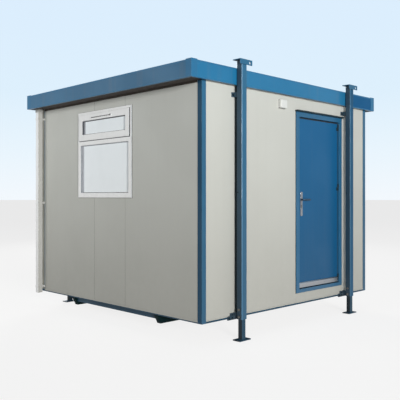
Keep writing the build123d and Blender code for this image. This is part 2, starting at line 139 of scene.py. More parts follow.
def bolt(bm, base, normal, size):
    """A hexagon head on a washer. The size is the thread's diameter."""
    base, normal = Vector(base), Vector(normal).normalized()
    washer = base + normal * size * 0.16
    rod(bm, base, washer, size * 1.1, sides=20)
    rod(bm, washer, washer + normal * size * 0.6, size * 0.92, sides=6)


def weld(bm, start, end, size):
    """A weld bead of overlapping ripples between two points."""
    start, end = Vector(start), Vector(end)
    count = max(2, round((end - start).length / (size * 1.3)))
    for i in range(count + 1):
        made = bmesh.ops.create_icosphere(bm, subdivisions=1, radius=size)["verts"]
        bmesh.ops.translate(bm, vec=start.lerp(end, i / count), verts=made)


def copy_of(node, cuts=()):
    """A clean mesh of a CAD node, its triangles joined and flat faces made whole, cut at places along X."""
    bm = bmesh.new()
    bm.from_mesh(frame["nodes"][node].data)
    bmesh.ops.remove_doubles(bm, verts=bm.verts, dist=SAME_POINT)
    bmesh.ops.dissolve_limit(bm, angle_limit=FLAT_LIMIT, verts=bm.verts, edges=bm.edges)
    for x in cuts:
        everything = bm.verts[:] + bm.edges[:] + bm.faces[:]
        bmesh.ops.bisect_plane(bm, geom=everything, plane_co=(x, 0, 0), plane_no=(1, 0, 0))
    pick_coats(bm, lambda face: 0)
    bm.normal_update()
    return bm


def solids_of(node):
    """The boxes of a node's separate solids, as pairs of corners, from the lowest X, Y and Z up."""
    bm = copy_of(node)
    waiting = set(bm.verts)
    boxes = []
    while waiting:
        edge = [waiting.pop()]
        solid = set(edge)
        while edge:
            vert = edge.pop()
            near = {link.other_vert(vert) for link in vert.link_edges} - solid
            solid |= near
            edge.extend(near)
        waiting -= solid
        boxes.append([Vector([pick(vert.co[i] for vert in solid) for i in (X, Y, Z)]) for pick in (min, max)])
    bm.free()
    return sorted(boxes, key=lambda pair: [round(value, 4) for value in pair[0]])


def pick_coats(bm, choose):
    """Gives each face the coat whose place in the piece's list a rule picks."""
    for face in bm.faces:
        face.material_index = int(choose(face))


def towards(*direction, limit=0.5):
    """A rule for faces that look in a direction."""
    return lambda face: face.normal.dot(Vector(direction)) > limit


def sideways(face):
    """The rule for faces that look along the cabin's length, either way."""
    return abs(face.normal.x) > SQUARE_ON


def piece(bm, name, coats, like, edge=0.001, replaces=()):
    """A finished piece on the body of the node it is like, with its sharp edges eased."""
    bmesh.ops.recalc_face_normals(bm, faces=bm.faces)
    mesh = bpy.data.meshes.new(name)
    bm.to_mesh(mesh)
    bm.free()
    stored = mesh.attributes.get("custom_normal")
    if stored:
        mesh.attributes.remove(stored)
    mesh.shade_smooth()
    obj = bpy.data.objects.new(name, mesh)
    bpy.context.scene.collection.objects.link(obj)
    for coat in (coats,) if isinstance(coats, str) else coats:
        mesh.materials.append(finish(coat))
    eased = obj.modifiers.new("Eased edges", "BEVEL")
    eased.width = edge
    eased.segments = 2
    eased.limit_method = "ANGLE"
    eased.angle_limit = BEVEL_LIMIT
    eased.harden_normals = True
    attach(obj, BODY_OF[like])
    if replaces:
        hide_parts(*replaces)
    return obj


def dress(node, ending, coats, edge=0.001, second=None, cuts=()):
    """A finished copy that stands for one CAD node. Faces that pass the rule given take the second coat."""
    bm = copy_of(node, cuts)
    if second:
        pick_coats(bm, second)
    piece(bm, f"{node}_{ending}", coats, node, edge, [node])


def group(shape, rows, name, coats, like, edge=0.001, replaces=()):
    """A piece made of one kind of shape many times over; each row holds what the shape takes."""
    bm = bmesh.new()
    for row in rows:
        shape(bm, *row)
    return piece(bm, name, coats, like, edge, replaces)


# ---- shader nodes ----
def add(tree, kind, inputs=None, **settings):
    """Adds a shader node with its settings; each input takes a value or the output that feeds it."""
    made = tree.nodes.new("ShaderNode" + kind)
    for name, value in settings.items():
        setattr(made, name, value)
    for key, value in (inputs or {}).items():
        if isinstance(value, bpy.types.NodeSocket):
            tree.links.new(value, made.inputs[key])
        else:
            made.inputs[key].default_value = value
    return made


def times(tree, value, amount):
    return add(tree, "Math", {0: value, 1: amount}, operation="MULTIPLY").outputs[0]


def ramp(tree, value, low, high, to_low=0.0, to_high=1.0):
    """A value taken from one range to another, smoothly and without going past its ends."""
    return add(tree, "MapRange", {"Value": value, "From Min": low, "From Max": high, "To Min": to_low,
                                  "To Max": to_high}, interpolation_type="SMOOTHSTEP").outputs["Result"]


def tinted(tree, factor, base, over):
    """One colour mixed towards another; both may be plain colours or outputs."""
    full = [(*value, 1.0) if isinstance(value, tuple) else value for value in (base, over)]
    return add(tree, "Mix", {0: factor, 6: full[0], 7: full[1]}, data_type="RGBA").outputs[2]


def scaled(colour, amount):
    return tuple(min(1.0, value * amount) for value in colour)


def noise(tree, place, scale, detail):
    return add(tree, "TexNoise", {"Vector": place, "Scale": scale, "Detail": detail}).outputs["Fac"]


def new_group(name, inputs, outputs):
    """An empty node group with named inputs, each with its default, and named outputs."""
    tree = bpy.data.node_groups.new(name, "ShaderNodeTree")
    for label, value in inputs.items():
        kind = "NodeSocketVector" if isinstance(value, tuple) else "NodeSocketFloat"
        tree.interface.new_socket(name=label, in_out="INPUT", socket_type=kind).default_value = value
    for label in outputs:
        tree.interface.new_socket(name=label, in_out="OUTPUT", socket_type="NodeSocketFloat")
    return tree, tree.nodes.new("NodeGroupInput"), tree.nodes.new("NodeGroupOutput")


def object_place(tree, stretch=(1, 1, 1)):
    """Object coordinates, stretched along each axis."""
    place = add(tree, "TexCoord").outputs["Object"]
    return add(tree, "VectorMath", {0: place, 1: stretch}, operation="MULTIPLY").outputs[0]


def make_surface_grain():
    """Fine grain for a bump, and slow patches for colour and roughness."""
    inputs = {"Scale": 300.0, "Patch scale": 2.0, "Stretch": (1.0, 1.0, 1.0)}
    tree, entry, out = new_group("Surface grain", inputs, ("Height", "Patches"))
    place = object_place(tree, entry.outputs["Stretch"])
    fine = noise(tree, place, entry.outputs["Scale"], 3.0)
    slow = noise(tree, place, entry.outputs["Patch scale"], 4.0)
    tree.links.new(fine, out.inputs["Height"])
    tree.links.new(ramp(tree, slow, 0.35, 0.65), out.inputs["Patches"])
    return tree


def make_weathering_and_shade():
    """Splashed dirt low down, thin streaks where rain runs, and a fade from the ground to the roof: painted
    shade, strongest at the ground.
    """
    tree, entry, out = new_group("Weathering", {"Top": 0.8}, ("Splash", "Streaks", "Fade"))
    height = add(tree, "SeparateXYZ", {0: add(tree, "TexCoord").outputs["Object"]}).outputs["Z"]
    speckle = noise(tree, object_place(tree), 18.0, 5.0)
    low = ramp(tree, height, 0.05, entry.outputs["Top"], 1.0, 0.0)
    splash = times(tree, low, ramp(tree, speckle, 0.3, 0.7, 0.45, 1.0))
    runs = noise(tree, object_place(tree, (9, 9, 0.35)), 1.6, 4.0)
    tree.links.new(splash, out.inputs["Splash"])
    tree.links.new(ramp(tree, runs, 0.5, 0.72), out.inputs["Streaks"])
    # The fade is painted shade: darkest at the ground, gone by the roof.
    tree.links.new(ramp(tree, height, 0.1, 2.8, 1.0, 0.0), out.inputs["Fade"])
    return tree


def make_edge_wear():
    """Marks along sharp edges, broken up by noise."""
    tree, entry, out = new_group("Edge wear", {"Width": 0.003}, ("Wear",))
    rounded = add(tree, "Bevel", {"Radius": entry.outputs["Width"]}, samples=4).outputs["Normal"]
    plain = add(tree, "NewGeometry").outputs["True Normal"]
    same = add(tree, "VectorMath", {0: rounded, 1: plain}, operation="DOT_PRODUCT").outputs["Value"]
    broken = ramp(tree, noise(tree, object_place(tree), 30.0, 4.0), 0.45, 0.62)
    tree.links.new(times(tree, ramp(tree, same, 0.98, 0.82), broken), out.inputs["Wear"])
    return tree


GROUP_MAKERS = {
    "Surface grain": make_surface_grain,
    "Weathering": make_weathering_and_shade,
    "Edge wear": make_edge_wear,
}


def use(tree, name, **values):
    """Places a node group, made on first use, with its own values."""
    inner = bpy.data.node_groups.get(name) or GROUP_MAKERS[name]()
    made = tree.nodes.new("ShaderNodeGroup")
    made.node_tree = inner
    for label, value in values.items():
        made.inputs[label.replace("_", " ")].default_value = value
    return made.outputs


def start(name):
    material = bpy.data.materials.new(name)
    material.use_nodes = True
    return material, material.node_tree, material.node_tree.nodes["Principled BSDF"]


def connect(tree, shader, base, rough_by, rough, height, depth):
    """Feeds a shader its colour, a roughness that varies between two values, and a bump."""
    tree.links.new(base, shader.inputs["Base Color"])
    tree.links.new(ramp(tree, rough_by, 0, 1, *rough), shader.inputs["Roughness"])
    bump = add(tree, "Bump", {"Height": height, "Distance": depth, "Strength": 0.6})
    tree.links.new(bump.outputs["Normal"], shader.inputs["Normal"])


# The colour of dirt; the wall coating's painted shade darkens towards it as well.
SOIL = (0.20, 0.18, 0.15)
WORN_PAINT = (0.30, 0.31, 0.32)


def coated(name, colour, rough, grain=300.0, depth=0.00015, patch=0.06, dirt=0.12, top=0.8, streaks=0.06,
           wear=0.2, shine=0.35, fade=0.0, shade=SOIL):
    """A painted, coated or moulded surface: grain, patches, painted shade and dirt low down, streaks, worn
    edges.
    """
    material, tree, shader = start(name)
    grained = use(tree, "Surface grain", Scale=grain, Patch_scale=1.7)
    weather = use(tree, "Weathering", Top=top)
    edges = use(tree, "Edge wear")
    base = tinted(tree, grained["Patches"], colour, scaled(colour, 1 - 2.2 * patch))
    # The fade mixes in the shade colour as painted shade low down. Streaks and splash are dirt, and wear
    # marks the edges.
    for output, amount, over in ((weather["Fade"], fade, shade), (weather["Streaks"], streaks, SOIL),
                                 (weather["Splash"], dirt, SOIL), (edges["Wear"], wear, WORN_PAINT)):
        base = tinted(tree, times(tree, output, amount), base, over)
    connect(tree, shader, base, grained["Patches"], (rough - 0.04, rough + 0.05), grained["Height"], depth)
    shader.inputs["Specular IOR Level"].default_value = shine
    return material


def timber(name, pale, dark, along):
    """Sawn boards whose grain runs along one axis."""
    material, tree, shader = start(name)
    stretch = [24.0, 24.0, 24.0]
    stretch[along] = 1.2
    grained = use(tree, "Surface grain", Scale=9.0, Patch_scale=1.4, Stretch=stretch)
    lines = ramp(tree, grained["Height"], 0.35, 0.65)
    base = tinted(tree, lines, pale, dark)
    base = tinted(tree, times(tree, grained["Patches"], 0.35), base, scaled(pale, 0.7))
    connect(tree, shader, base, lines, (0.6, 0.8), grained["Height"], 0.0006)
    return material


def bare_metal(name, colour, rough, stretch):
    """Brushed or plated metal with fine lines one way, dull patches and edges brightened by wear."""
    material, tree, shader = start(name)
    shader.inputs["Metallic"].default_value = 1.0
    grained = use(tree, "Surface grain", Scale=120.0, Patch_scale=6.0, Stretch=stretch)
    edges = use(tree, "Edge wear")
    base = tinted(tree, grained["Patches"], colour, scaled(colour, 0.8))
    base = tinted(tree, times(tree, edges["Wear"], 0.3), base, scaled(colour, 1.25))
    connect(tree, shader, base, grained["Patches"], (rough - 0.06, rough + 0.08), grained["Height"], 0.00008)
    return material


def obscured_glass(name, colour):
    """Pale obscured glass: a glossy face over a milky sheet with a faint cast."""
    material, tree, shader = start(name)
    grained = use(tree, "Surface grain", Scale=60.0, Patch_scale=3.0)
    base = tinted(tree, grained["Patches"], colour, scaled(colour, 0.97))
    for label, value in (("Metallic", 0.0), ("Transmission Weight", 0.0), ("IOR", 1.52), ("Coat Weight", 0.5),
                         ("Coat Roughness", 0.02)):
        shader.inputs[label].default_value = value
    connect(tree, shader, base, grained["Patches"], (0.12, 0.2), grained["Height"], 0.00005)
    return material


# What several coatings share, and the dark lines of the timber.
CLEAN = {"dirt": 0.0, "streaks": 0.0, "wear": 0.0}
SHEET = {"grain": 260, "patch": 0.03, "dirt": 0.0}
STEEL = {"grain": 240, "depth": 0.0002, "patch": 0.08, "wear": 0.1}
PLASTIC = {"grain": 500, "depth": 0.00006, "streaks": 0.05, "wear": 0.0}
BRUSHED = (0.05, 1.0, 1.0)
DARK_TIMBER = (0.20, 0.13, 0.07)

# Each coating: its colour or the setting that holds it, its roughness, and what differs from the usual.
# A fade is painted shade that darkens a coat towards its shade colour near the ground.
COATED = {
    "wall coating": ("walls.coating", 0.52, dict(
        grain=420, depth=0.0002, patch=0.012, dirt=0.08, top=1.3, streaks=0.02, wear=0.12, fade=0.36)),
    # Painted light: near white for the spines behind the right-hand sleeves, standing for lit wall.
    "pale strip": ((0.90, 0.91, 0.88), 0.4, dict(grain=420, patch=0.012, dirt=0.05, streaks=0.02, wear=0.0)),
    "wall lining": ("walls.lining", 0.5, dict(grain=420, patch=0.01, dirt=0.03, streaks=0.0, wear=0.05)),
    "fascia blue": ("roof.fascia", 0.36, dict(SHEET, streaks=0.10, wear=0.25)),
    "dark fascia blue": ("roof.fascia_dark", 0.36, dict(SHEET, streaks=0.0, shine=0.12)),
    "faded fascia blue": ("roof.fascia_faded", 0.4, dict(SHEET, patch=0.05, streaks=0.10, wear=0.25)),
    "cap blue": ("roof.cap", 0.34, dict(SHEET, streaks=0.08, wear=0.4)),
    "roof membrane": ("roof.membrane", 0.85, dict(CLEAN, grain=900, depth=0.0006, patch=0.12)),
    "gutter lining": ("roof.gutter", 0.5, dict(patch=0.1, dirt=0.0, streaks=0.25, wear=0.3)),
    "steel blue": ("steel.blue", 0.32, dict(
        STEEL, patch=0.05, dirt=0.06, top=0.55, streaks=0.05, wear=0.3, shine=0.4, fade=0.4,
        shade=(0.006, 0.040, 0.075))),
    "deep blue": ("steel.deep", 0.34, dict(
        STEEL, patch=0.05, dirt=0.03, top=0.55, streaks=0.0, wear=0.2, shine=0.15)),
    # Painted shade for the sleeves' end-facing sides and for the leg brackets.
    "shaded blue": ("steel.side", 0.45, dict(
        STEEL, dirt=0.15, top=0.5, streaks=0.10, shine=0.25, fade=0.5, shade=(0.012, 0.030, 0.050))),
    # A painted highlight for the band beside the left sleeves' front corners, fading out low down.
    "rubbed blue": ("steel.rubbed", 0.25, dict(
        grain=240, patch=0.08, dirt=0.0, streaks=0.15, shine=0.5, fade=0.7, shade=(0.024, 0.110, 0.200))),
    "base blue": ("steel.base", 0.45, dict(STEEL, dirt=0.06, top=0.4, streaks=0.05, shine=0.25)),
    # Painted shade for the corner posts' end-facing faces.
    "post side blue": ((0.013, 0.064, 0.122), 0.45, dict(
        STEEL, dirt=0.05, top=0.4, streaks=0.05, shine=0.15, fade=0.35, shade=(0.010, 0.050, 0.105))),
    # Painted shade for the jack legs' end-facing faces.
    "dark leg side": ((0.016, 0.026, 0.034), 0.5, dict(
        STEEL, depth=0.00015, dirt=0.05, top=0.4, streaks=0.0, shine=0.15)),
    "skid black": ((0.002, 0.012, 0.014), 0.6, dict(CLEAN, grain=240, patch=0.08, wear=0.1, shine=0.05)),
    "dark steel": ("steel.dark", 0.48, dict(
        STEEL, depth=0.0003, patch=0.10, dirt=0.04, top=0.3, streaks=0.0, wear=0.15, shine=0.2)),
    "door blue": ("door.leaf", 0.33, dict(
        depth=0.0001, patch=0.025, dirt=0.04, top=1.5, streaks=0.02, wear=0.3, shine=0.2, fade=0.4,
        shade=(0.004, 0.040, 0.085))),
    "frame blue": ("door.frame", 0.36, dict(grain=240, patch=0.04, dirt=0.2, top=0.7, wear=0.35)),
    "rubber": ((0.018, 0.018, 0.019), 0.65, dict(grain=500, patch=0.1, dirt=0.1, streaks=0.0, wear=0.15)),
    # Grey sealant, darkened so that it also paints the window frame's shadow on the wall.
    "sealant": ((0.27, 0.27, 0.26), 0.6, dict(grain=200, patch=0.1, dirt=0.15, streaks=0.1, wear=0.0)),
    "dark sealant": ((0.022, 0.022, 0.020), 0.6, dict(grain=200, patch=0.1, dirt=0.1, streaks=0.1, wear=0.0)),
    # Painted shade for the window frame's faces that look towards the front.
    "jamb grey": ((0.27, 0.29, 0.31), 0.4, dict(grain=400, patch=0.03, dirt=0.05, streaks=0.05, wear=0.0)),
    # Three tones of painted shade beside the panes and the sash.
    "mid seal": ((0.45, 0.47, 0.51), 0.4, dict(CLEAN, patch=0.05)),
    "pale seal": ((0.42, 0.44, 0.48), 0.4, dict(CLEAN, patch=0.05)),
    "reveal seal": ((0.100, 0.105, 0.120), 0.5, dict(CLEAN, patch=0.05)),
    # Painted shade on the post behind the downpipe, with dirt.
    "cover strip": ("rainwater.strip", 0.6, dict(grain=200, patch=0.1, dirt=0.3, streaks=0.15, wear=0.1)),
    "white plastic": ("window.plastic", 0.3, dict(PLASTIC, patch=0.012, dirt=0.06, top=1.2)),
    "pipe plastic": ("rainwater.plastic", 0.24, dict(PLASTIC, patch=0.015, top=0.9, shine=0.5)),
    # Painted shade for the pipe's faces that look towards the front, and for its collar.
    "weathered pipe": ("rainwater.weathered", 0.35, dict(PLASTIC, patch=0.02, top=0.9)),
    "lamp plastic": ("lamp.housing", 0.42, dict(CLEAN, grain=500, patch=0.02, streaks=0.08)),
    "lamp cover": ("lamp.cover", 0.2, dict(CLEAN, grain=700, patch=0.01, streaks=0.04)),
    "floor covering": ("indoors.floor", 0.5, dict(CLEAN, grain=700, patch=0.08, dirt=0.1)),
    "ceiling board": ("indoors.ceiling", 0.7, dict(CLEAN, grain=350, patch=0.02)),
}

# The other finishes: what makes each one, its colour or the setting that holds it, and further values.
UNCOATED = {
    "soffit board": (timber, "roof.soffit", (0.016, 0.011, 0.008), Y),
    "timber along x": (timber, "indoors.timber", DARK_TIMBER, X),
    "timber along y": (timber, "indoors.timber", DARK_TIMBER, Y),
    "fixings": (bare_metal, "steel.fixings", 0.42, (1.0, 1.0, 1.0)),
    "silver": (bare_metal, "door.silver", 0.36, BRUSHED),
    # The levers' navy tint is a painted reflection of the blue door.
    "lever metal": (bare_metal, "door.lever", 0.3, BRUSHED),
    "handle metal": (bare_metal, "door.handle", 0.28, BRUSHED),
    "glass": (obscured_glass, "window.glass"),
}
made_finishes = {}


def settings(name):
    return getattr(bpy.context.scene, "cabin_" + name)


def finish(name):
    """A material by its plain name, made on first use."""
    if name not in made_finishes:
        if name in COATED:
            maker, (tone, rough, extra) = coated, COATED[name]
            rest = (rough,)
        else:
            (maker, tone, *rest), extra = UNCOATED[name], {}
        if isinstance(tone, str):
            holder, label = tone.split(".")
            tone = getattr(settings(holder), label)
        made_finishes[name] = maker(name.capitalize(), tuple(tone), *rest, **extra)
    return made_finishes[name]


# ---- properties ----
def colour(name, default):
    return bpy.props.FloatVectorProperty(name=name, description=f"Colour of the {name.lower()}", size=3,
                                         default=default, min=0.0, max=1.0, subtype="COLOR")


def length(name, description, default):
    return bpy.props.FloatProperty(name=name, description=description, default=default, min=0.0, precision=4,
                                   unit="LENGTH", subtype="DISTANCE")


def power(name, lamp, default):
    return bpy.props.FloatProperty(name=name, description=f"Power of the {lamp}", default=default, min=0.0,
                                   unit="POWER")


class CabinWallSettings(bpy.types.PropertyGroup):
    coating: colour("Wall coating", (0.564, 0.578, 0.543))
    lining: colour("Wall lining", (0.72, 0.72, 0.70))
    edge: length("Panel edge", "Radius of the folded edges of a wall panel", 0.0015)
    end_flashing: length("End flashing", "Height of the flashings at the foot of the end walls", 0.017)
    side_flashing: length("Side flashing", "Height of the flashings at the foot of the side walls", 0.010)
    seal_recess: length("Seal recess", "How far the joint seals lie behind the panels", 0.0003)


class CabinRoofSettings(bpy.types.PropertyGroup):
    fascia: colour("Fascia", (0.014, 0.163, 0.333))
    fascia_dark: colour("Fascia beyond the joint", (0.001, 0.090, 0.232))
    fascia_faded: colour("Faded end fascias", (0.036, 0.150, 0.280))
    cap: colour("Corner caps", (0.018, 0.150, 0.305))
    membrane: colour("Roof membrane", (0.20, 0.21, 0.22))
    gutter: colour("Gutter", (0.33, 0.34, 0.35))
    # Dark brown, darkened further as painted shade under the overhang.
    soffit: colour("Soffit boards", (0.034, 0.024, 0.017))
    batten_height: length("Head shade batten", "Height of the dark batten that paints the shade at the head of the end walls", 0.022)
    lip_height: length("Lip height", "Height of the folded lip along the foot of the fascia", 0.010)
    lap_width: length("Lap width", "Width of a lap between two sheets of the membrane", 0.080)
    sheet_width: length("Sheet width", "Width of one sheet of the roof membrane", 1.0)
    rivet_radius: length("Rivet radius", "Radius of the rivets in the fascias", 0.0045)


class CabinSteelSettings(bpy.types.PropertyGroup):
    blue: colour("Blue steel", (0.016, 0.118, 0.228))
    deep: colour("Sleeves beside the door", (0.008, 0.078, 0.165))
    # Painted shade for the sides of the sleeves and the brackets.
    side: colour("Painted shade on the sleeves' sides", (0.034, 0.070, 0.106))
    # The painted highlight beside the left sleeves' corners.
    rubbed: colour("Painted corner highlights", (0.080, 0.205, 0.335))
    base: colour("Base steel", (0.006, 0.046, 0.086))
    dark: colour("Dark steel", (0.008, 0.022, 0.031))
    fixings: colour("Fixings", (0.22, 0.21, 0.20))
    bolt_size: length("Bolt size", "Thread diameter of the bracket bolts", 0.012)
    member_lift: length("Member lift", "How far the foot of a cross member lies above its solid", 0.010)
    rub_width: length("Highlight width", "Width of the rubbed band beside the corner of a sleeve", 0.016)
    weld_size: length("Weld size", "Radius of a weld bead", 0.0035)


class CabinDoorSettings(bpy.types.PropertyGroup):
    leaf: colour("Door leaf", (0.006, 0.108, 0.262))
    frame: colour("Door frame", (0.020, 0.118, 0.235))
    silver: colour("Weather bar", (0.42, 0.43, 0.45))
    handle: colour("Handle plates", (0.34, 0.35, 0.37))
    # Navy, which paints the blue door's reflection into the levers.
    lever: colour("Door levers", (0.07, 0.12, 0.18))
    # The painted shadow under the frame's head.
    head_strip: length("Head shadow strip", "Height of the painted shadow strip along the top of the leaf", 0.012)
    seal_width: length("Seal width", "Width of the rubber seal round the leaf", 0.009)
    cylinder_drop: length("Cylinder drop", "Spindle to the middle of the key cylinder", 0.072)


class CabinWindowSettings(bpy.types.PropertyGroup):
    plastic: colour("Window plastic", (0.91, 0.92, 0.92))
    glass: colour("Obscured glass", (0.92, 0.972, 1.0))
    gasket: length("Gasket width", "Width of the black gasket round each pane", 0.006)
    # The painted shade down the far side of each pane.
    reveal: length("Reveal seal", "Width of the painted shade down the far side of each pane", 0.016)
    vent_length: length("Vent length", "Length of the trickle vent in the sash", 0.413)


class CabinRainwaterSettings(bpy.types.PropertyGroup):
    plastic: colour("Downpipe", (0.93, 0.94, 0.94))
    # Painted shade on the pipe's faces that look towards the front.
    weathered: colour("Shaded side of the pipe", (0.43, 0.43, 0.41))
    # The painted shade on the post behind the pipe.
    strip: colour("Painted shade behind the pipe", (0.330, 0.330, 0.290))
    socket_height: length("Socket height", "Height of the collar at the head of the pipe", 0.045)


class CabinLampSettings(bpy.types.PropertyGroup):
    housing: colour("Lamp housing", (0.78, 0.78, 0.75))
    cover: colour("Lamp cover", (0.69, 0.71, 0.69))
    base_depth: length("Base depth", "Depth of the base behind the cover", 0.014)


class CabinIndoorSettings(bpy.types.PropertyGroup):
    floor: colour("Floor covering", (0.22, 0.24, 0.26))
    ceiling: colour("Ceiling boards", (0.80, 0.80, 0.78))
    timber: colour("Timber", (0.44, 0.31, 0.18))
    board_width: length("Board width", "Width of one ceiling board", 1.2)


class CabinStageSettings(bpy.types.PropertyGroup):
    camera_place: bpy.props.FloatVectorProperty(
        name="Camera", description="Where the camera stands", size=3, default=(-5.7459, -5.7713, 1.4926),
        subtype="TRANSLATION", unit="LENGTH")
    camera_heading: bpy.props.FloatProperty(
        name="Heading", description="Camera direction from +X towards +Y", default=math.radians(45.349),
        subtype="ANGLE")
    lens: bpy.props.FloatProperty(
        name="Lens", description="Focal length in millimetres", default=54.34, min=1.0)
    rise: bpy.props.FloatProperty(name="Rise", description="Vertical shift of the lens", default=-0.01)
    sky_level: bpy.props.FloatProperty(
        name="Sky level", description="Strength of the soft light from all round", default=0.155, min=0.0)
    key_power: power("Key lamp", "large lamp before the door side", 1360.0)
    side_power: power("Side lamp", "lamp before the window end", 17.0)
    back_power: power("Back lamp", "weak lamp behind the cabin", 300.0)
    floor: colour("Floor", (0.60, 0.60, 0.60))


# ---- pieces ----
INWARD = {"front": (0, 1, 0), "left": (1, 0, 0), "right": (-1, 0, 0), "back": (0, -1, 0)}
WALLS = ("front_wall_left_panel", "front_wall_right_panel", "front_wall_door_panels", "left_wall_front_panel",
         "left_wall_middle_panel", "left_wall_back_panel", "right_wall", "back_wall")


def build_walls(walls):
    """The panels, coated outside and lined indoors."""
    for node in WALLS:
        dress(node, "clad", ("wall coating", "wall lining"), walls.edge, towards(*INWARD[node.split("_")[0]]))


def build_foot_flashings(walls):
    """Thin coated flashings over the top of the base rails, between the corner posts."""
    low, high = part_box("corner_posts")
    width = solids_of("corner_posts")[0][1].x - low.x + 0.001
    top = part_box("base_end_rails")[1].z + 0.002
    thick = 0.0012
    end_foot, side_foot = top - walls.end_flashing, top - walls.side_flashing
    ends = [((x - way * SUNK, low.y + width, end_foot), (x + way * thick, high.y - width, top))
            for way, x in ((-1, low.x), (1, high.x))]
    sides = [((low.x + width, y - way * SUNK, side_foot), (high.x - width, y + way * thick, top))
             for way, y in ((-1, low.y), (1, high.y))]
    group(block, ends + sides, "wall_foot_flashings", "wall coating", "right_wall", 0.0004)


def gaps_between(strips, along, across, recess):
    """The gap between each strip and the next along one axis, set back from both faces across another."""
    gaps = []
    for (near_low, near_high), (far_low, far_high) in zip(strips, strips[1:]):
        low, high = near_low.copy(), near_high.copy()
        low[along], high[along] = near_high[along], far_low[along]
        low[across] += recess
        high[across] -= recess
        gaps.append((low, high))
    return gaps


def build_joint_seals(walls):
    """Sealant in the open joints of both end walls and the back wall, kept clear of the window."""
    window_low, window_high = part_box("window_frame")
    left = [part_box(f"left_wall_{part}_panel") for part in ("front", "middle", "back")]
    seals = []
    for low, high in gaps_between(left, Y, X, walls.seal_recess):
        seals += [(low, (high.x, high.y, window_low.z)), ((low.x, low.y, window_high.z), high)]
    seals += gaps_between(solids_of("right_wall"), Y, X, walls.seal_recess)
    seals += gaps_between(solids_of("back_wall"), X, Y, walls.seal_recess)
    group(block, seals, "wall_joint_seals", "dark sealant", "right_wall", 0.0004)


def build_fascias(roof):
    """The fascias with folded lips along foot and head, the caps on their corners, and the caps' rivets."""
    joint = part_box("leg_spines")[1].x - 0.010
    dress("side_fascias", "painted", ("fascia blue", "dark fascia blue"), 0.002,
          lambda face: face.calc_center_median().x > joint, cuts=[joint])
    dress("end_fascias", "painted", "faded fascia blue", 0.002)
    dress("fascia_corner_caps", "painted", "cap blue", 0.0008)
    low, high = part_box("end_fascias")
    proud = 0.0012
    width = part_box("side_fascias")[0].x - low.x + proud + SUNK
    folds = ((low.z - 0.0006, low.z + roof.lip_height), (high.z - roof.lip_height * 1.4, high.z + 0.0015))
    lips = [((low.x - proud, low.y - proud, foot), (high.x + proud, high.y + proud, head), width, Z)
            for foot, head in folds]
    group(ring, lips, "fascia_lips", "cap blue", "end_fascias", 0.0008)
    inset = solids_of("fascia_corner_caps")[0][1].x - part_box("fascia_corner_caps")[0].x + 0.014
    margin, radius, height = 0.035, roof.rivet_radius, 0.0018
    rivets = []
    for z in (low.z + margin, high.z - margin):
        for right, back in CORNERS:
            rivets += [((right * (high.x - inset), back * high.y, z), (0, back, 0), radius, height),
                       ((right * high.x, back * (high.y - inset), z), (right, 0, 0), radius, height)]
    group(dome, rivets, "fascia_rivets", "cap blue", "end_fascias", 0.0002)


def build_roof_cover(roof):
    """The membrane on the deck, with laps, and turned up the inside of the fascias."""
    dress("roof_deck", "covered", "roof membrane")
    low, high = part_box("roof_deck")
    foot, top, thick = high.z - SUNK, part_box("end_fascias")[1].z - 0.002, 0.004
    sheets = math.ceil((high.x - low.x) / roof.sheet_width)
    seams = [low.x + i * (high.x - low.x) / sheets for i in range(1, sheets)]
    laps = [((x - roof.lap_width / 2, low.y, foot), (x + roof.lap_width / 2, high.y, high.z + 0.0025))
            for x in seams]
    upstands = [((low.x, low.y, foot), (high.x, low.y + thick, top)),
                ((low.x, high.y - thick, foot), (high.x, high.y, top)),
                ((high.x - thick, low.y + thick, foot), (high.x, high.y - thick, top))]
    group(block, laps + upstands, "roof_membrane_laps", "roof membrane", "roof_deck", 0.0012)
    dress("roof_joists", "sawn", "timber along y", 0.002)


def build_soffits(roof):
    """The boards under the roof's edges, with a dark batten at the head of each end wall as painted shade,
    and pale wall coating on the front and back strips as painted light.
    """
    bm = copy_of("soffits")
    wall_y = abs(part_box("front_wall_left_panel")[0].y)
    # Painted light: the front and back strips take the pale wall coating.
    pick_coats(bm, lambda face: abs(face.calc_center_median().y) > wall_y)
    head, half_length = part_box("soffits")[0].z, 1.46
    # Painted shade: a dark batten at the head of each end wall.
    for out, x in ((-1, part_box("left_wall_back_panel")[0].x), (1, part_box("right_wall")[1].x)):
        outer, inner = x + out * 0.006, x - out * SUNK
        block(bm, (outer, -half_length, head - roof.batten_height), (inner, half_length, head + SUNK))
    piece(bm, "soffit_boards", ("soffit board", "wall coating"), "soffits", replaces=["soffits"])


def build_gutter():
    """The gutter with flat straps across it and a wire guard over the outlet."""
    dress("roof_gutter", "lined", "gutter lining")
    low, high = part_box("roof_gutter")
    straps, half_width, shift = 5, 0.012, 0.15
    places = [low.y + (i + 0.5) * (high.y - low.y) / straps - shift for i in range(straps)]
    foot, top = high.z - 0.002, high.z + 0.0015
    rows = [((low.x, y - half_width, foot), (high.x, y + half_width, top)) for y in places]
    group(block, rows, "gutter_straps", "fixings", "roof_gutter", 0.0005)
    pipe_low, pipe_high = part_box("downpipe")
    middle = (pipe_low + pipe_high) / 2
    radius, wire = 0.026, 0.0022
    bm = bmesh.new()
    cage = bmesh.ops.create_uvsphere(bm, u_segments=10, v_segments=6, radius=radius)["verts"]
    bmesh.ops.delete(bm, geom=[vert for vert in cage if vert.co.z < -radius * 0.3], context="VERTS")
    bmesh.ops.wireframe(bm, faces=bm.faces, thickness=wire, use_replace=True, use_boundary=True)
    bmesh.ops.translate(bm, vec=(middle.x, middle.y, pipe_high.z + 0.011), verts=bm.verts)
    piece(bm, "outlet_guard", "fixings", "roof_gutter", 0.0002)


